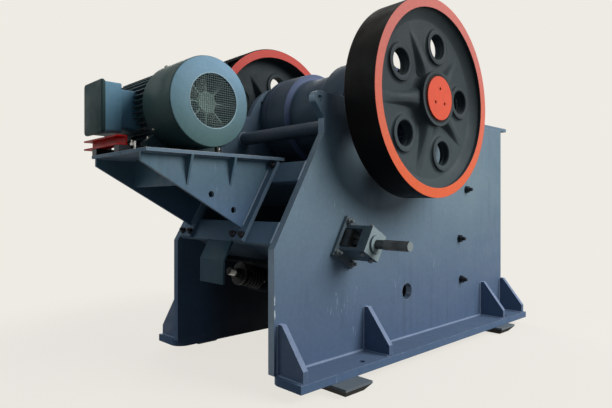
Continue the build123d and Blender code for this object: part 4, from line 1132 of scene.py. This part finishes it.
near_thread = adjusting_thread()
add_piece("near_screw_thread", near_thread, SCREW_STEEL, 60, body="near_wedge_set")
add_piece("far_screw_thread", far_copy(near_thread), SCREW_STEEL, 60, body="far_wedge_set")
add_piece("pull_rod_thread", rod_thread(), BRIGHT_STEEL, 60, body="swing_jaw")


# Camera at the photograph's viewing angle

CAMERA_PLACE = (-3.750, -3.495, 1.350)
CAMERA_HEADING = 46.23
FOCAL_PIXELS = 518.47
IMAGE_WIDTH = 612
SENSOR = 36.0

lens = bpy.data.cameras.new("camera")
lens.sensor_fit = "HORIZONTAL"
lens.sensor_width = SENSOR
lens.lens = FOCAL_PIXELS / IMAGE_WIDTH * SENSOR
lens.clip_end = 200
camera = new_object("camera", lens)
camera.location = CAMERA_PLACE
camera.rotation_euler = (np.radians(90), 0, np.radians(CAMERA_HEADING - 90))
scene.camera = camera


# Light, floor and background

BACKGROUND = srgb(238, 235, 228)
WHITE = (1.0, 1.0, 1.0)
FILL_TINT = (0.64, 0.83, 1.0, 1)
FILL_STRENGTH = 0.14
FLOOR_GLOW = 0.86
FLOOR_FADE = (2.6, 4.6)
FLOOR_RADIUS = 6
FLOOR_Z = -0.002


def soft_lamp(name, power, tint, place, target, size):
    """A round soft box that shines from a place to a target."""
    data = bpy.data.lights.new(name, "AREA")
    data.energy = power
    data.color = tint
    data.shape = "DISK"
    data.size = size
    lamp = new_object(name, data)
    lamp.location = place
    aim = Vector(target) - Vector(place)
    lamp.rotation_euler = aim.to_track_quat("-Z", "Y").to_euler()


soft_lamp("key", 1190, WHITE, (3.0, -9.0, 6.5), (0.2, -0.6, 1.2), 7.5)
soft_lamp("sky", 60, (0.78, 0.90, 1.0), (0.5, -1.0, 8.5), (0, 0, 1.5), 7.0)
soft_lamp("rear", 110, (0.80, 0.93, 1.0), (-6.5, 5.0, 5.0), (-0.5, 0.0, 1.2), 6.0)
soft_lamp("far", 520, WHITE, (5.0, 8.5, 5.5), (0.2, 0.6, 1.2), 7.0)


def background_seen(tree):
    """One for rays that show the pale background: camera, glossy and transmission rays."""
    rays = put(tree, "LightPath").outputs
    seen = maths(tree, "MAXIMUM", rays["Is Camera Ray"], rays["Is Glossy Ray"])
    return maths(tree, "MAXIMUM", seen, rays["Is Transmission Ray"])


def either(tree, factor, first, second):
    """The output of two shader nodes mixed by a factor."""
    return put(tree, "MixShader", {0: factor, 1: first.outputs[0], 2: second.outputs[0]})


world = bpy.data.worlds.new("studio")
world.use_nodes = True
scene.world = world
tree = world.node_tree
tree.nodes.clear()
fill = put(tree, "Background", {"Color": FILL_TINT, "Strength": FILL_STRENGTH})
back = put(tree, "Background", {"Color": BACKGROUND, "Strength": 1.0})
surround = either(tree, background_seen(tree), fill, back)
tree.links.new(surround.outputs[0], put(tree, "OutputWorld").inputs["Surface"])


def floor_finish():
    """Pale floor that shows a faint shadow and fades into the background a few metres out."""
    material, tree, shader = new_material("floor_finish")
    tree.nodes.remove(shader)
    reach = put(tree, "VectorMath", {0: object_place(tree)}, operation="LENGTH").outputs["Value"]
    matt = put(tree, "BsdfDiffuse", {"Color": BACKGROUND})
    glow = put(tree, "Emission", {"Color": BACKGROUND, "Strength": 1.0})
    ground = either(tree, FLOOR_GLOW, matt, glow)
    dull = put(tree, "BsdfDiffuse", {"Color": srgb(84, 84, 82)})
    sight = either(tree, background_seen(tree), dull, ground)
    fade = either(tree, ramp(tree, reach, *FLOOR_FADE), sight, put(tree, "BsdfTransparent"))
    tree.links.new(fade.outputs[0], tree.nodes["Material Output"].inputs["Surface"])
    return material


def floor_sheet():
    """Flat round sheet: radius and angle give x and y, at the height of the floor."""
    rows = 4
    columns = 48
    radius = np.linspace(0, FLOOR_RADIUS, rows)[:, None]
    points = polar(radius, rounds(columns), FLOOR_Z)
    return points.reshape(-1, 3), grid_faces(rows, columns, False, True)


sheet = new_mesh("floor", floor_sheet())
sheet.materials.append(floor_finish())
floor = new_object("floor", sheet)

scene.view_settings.view_transform = "Standard"
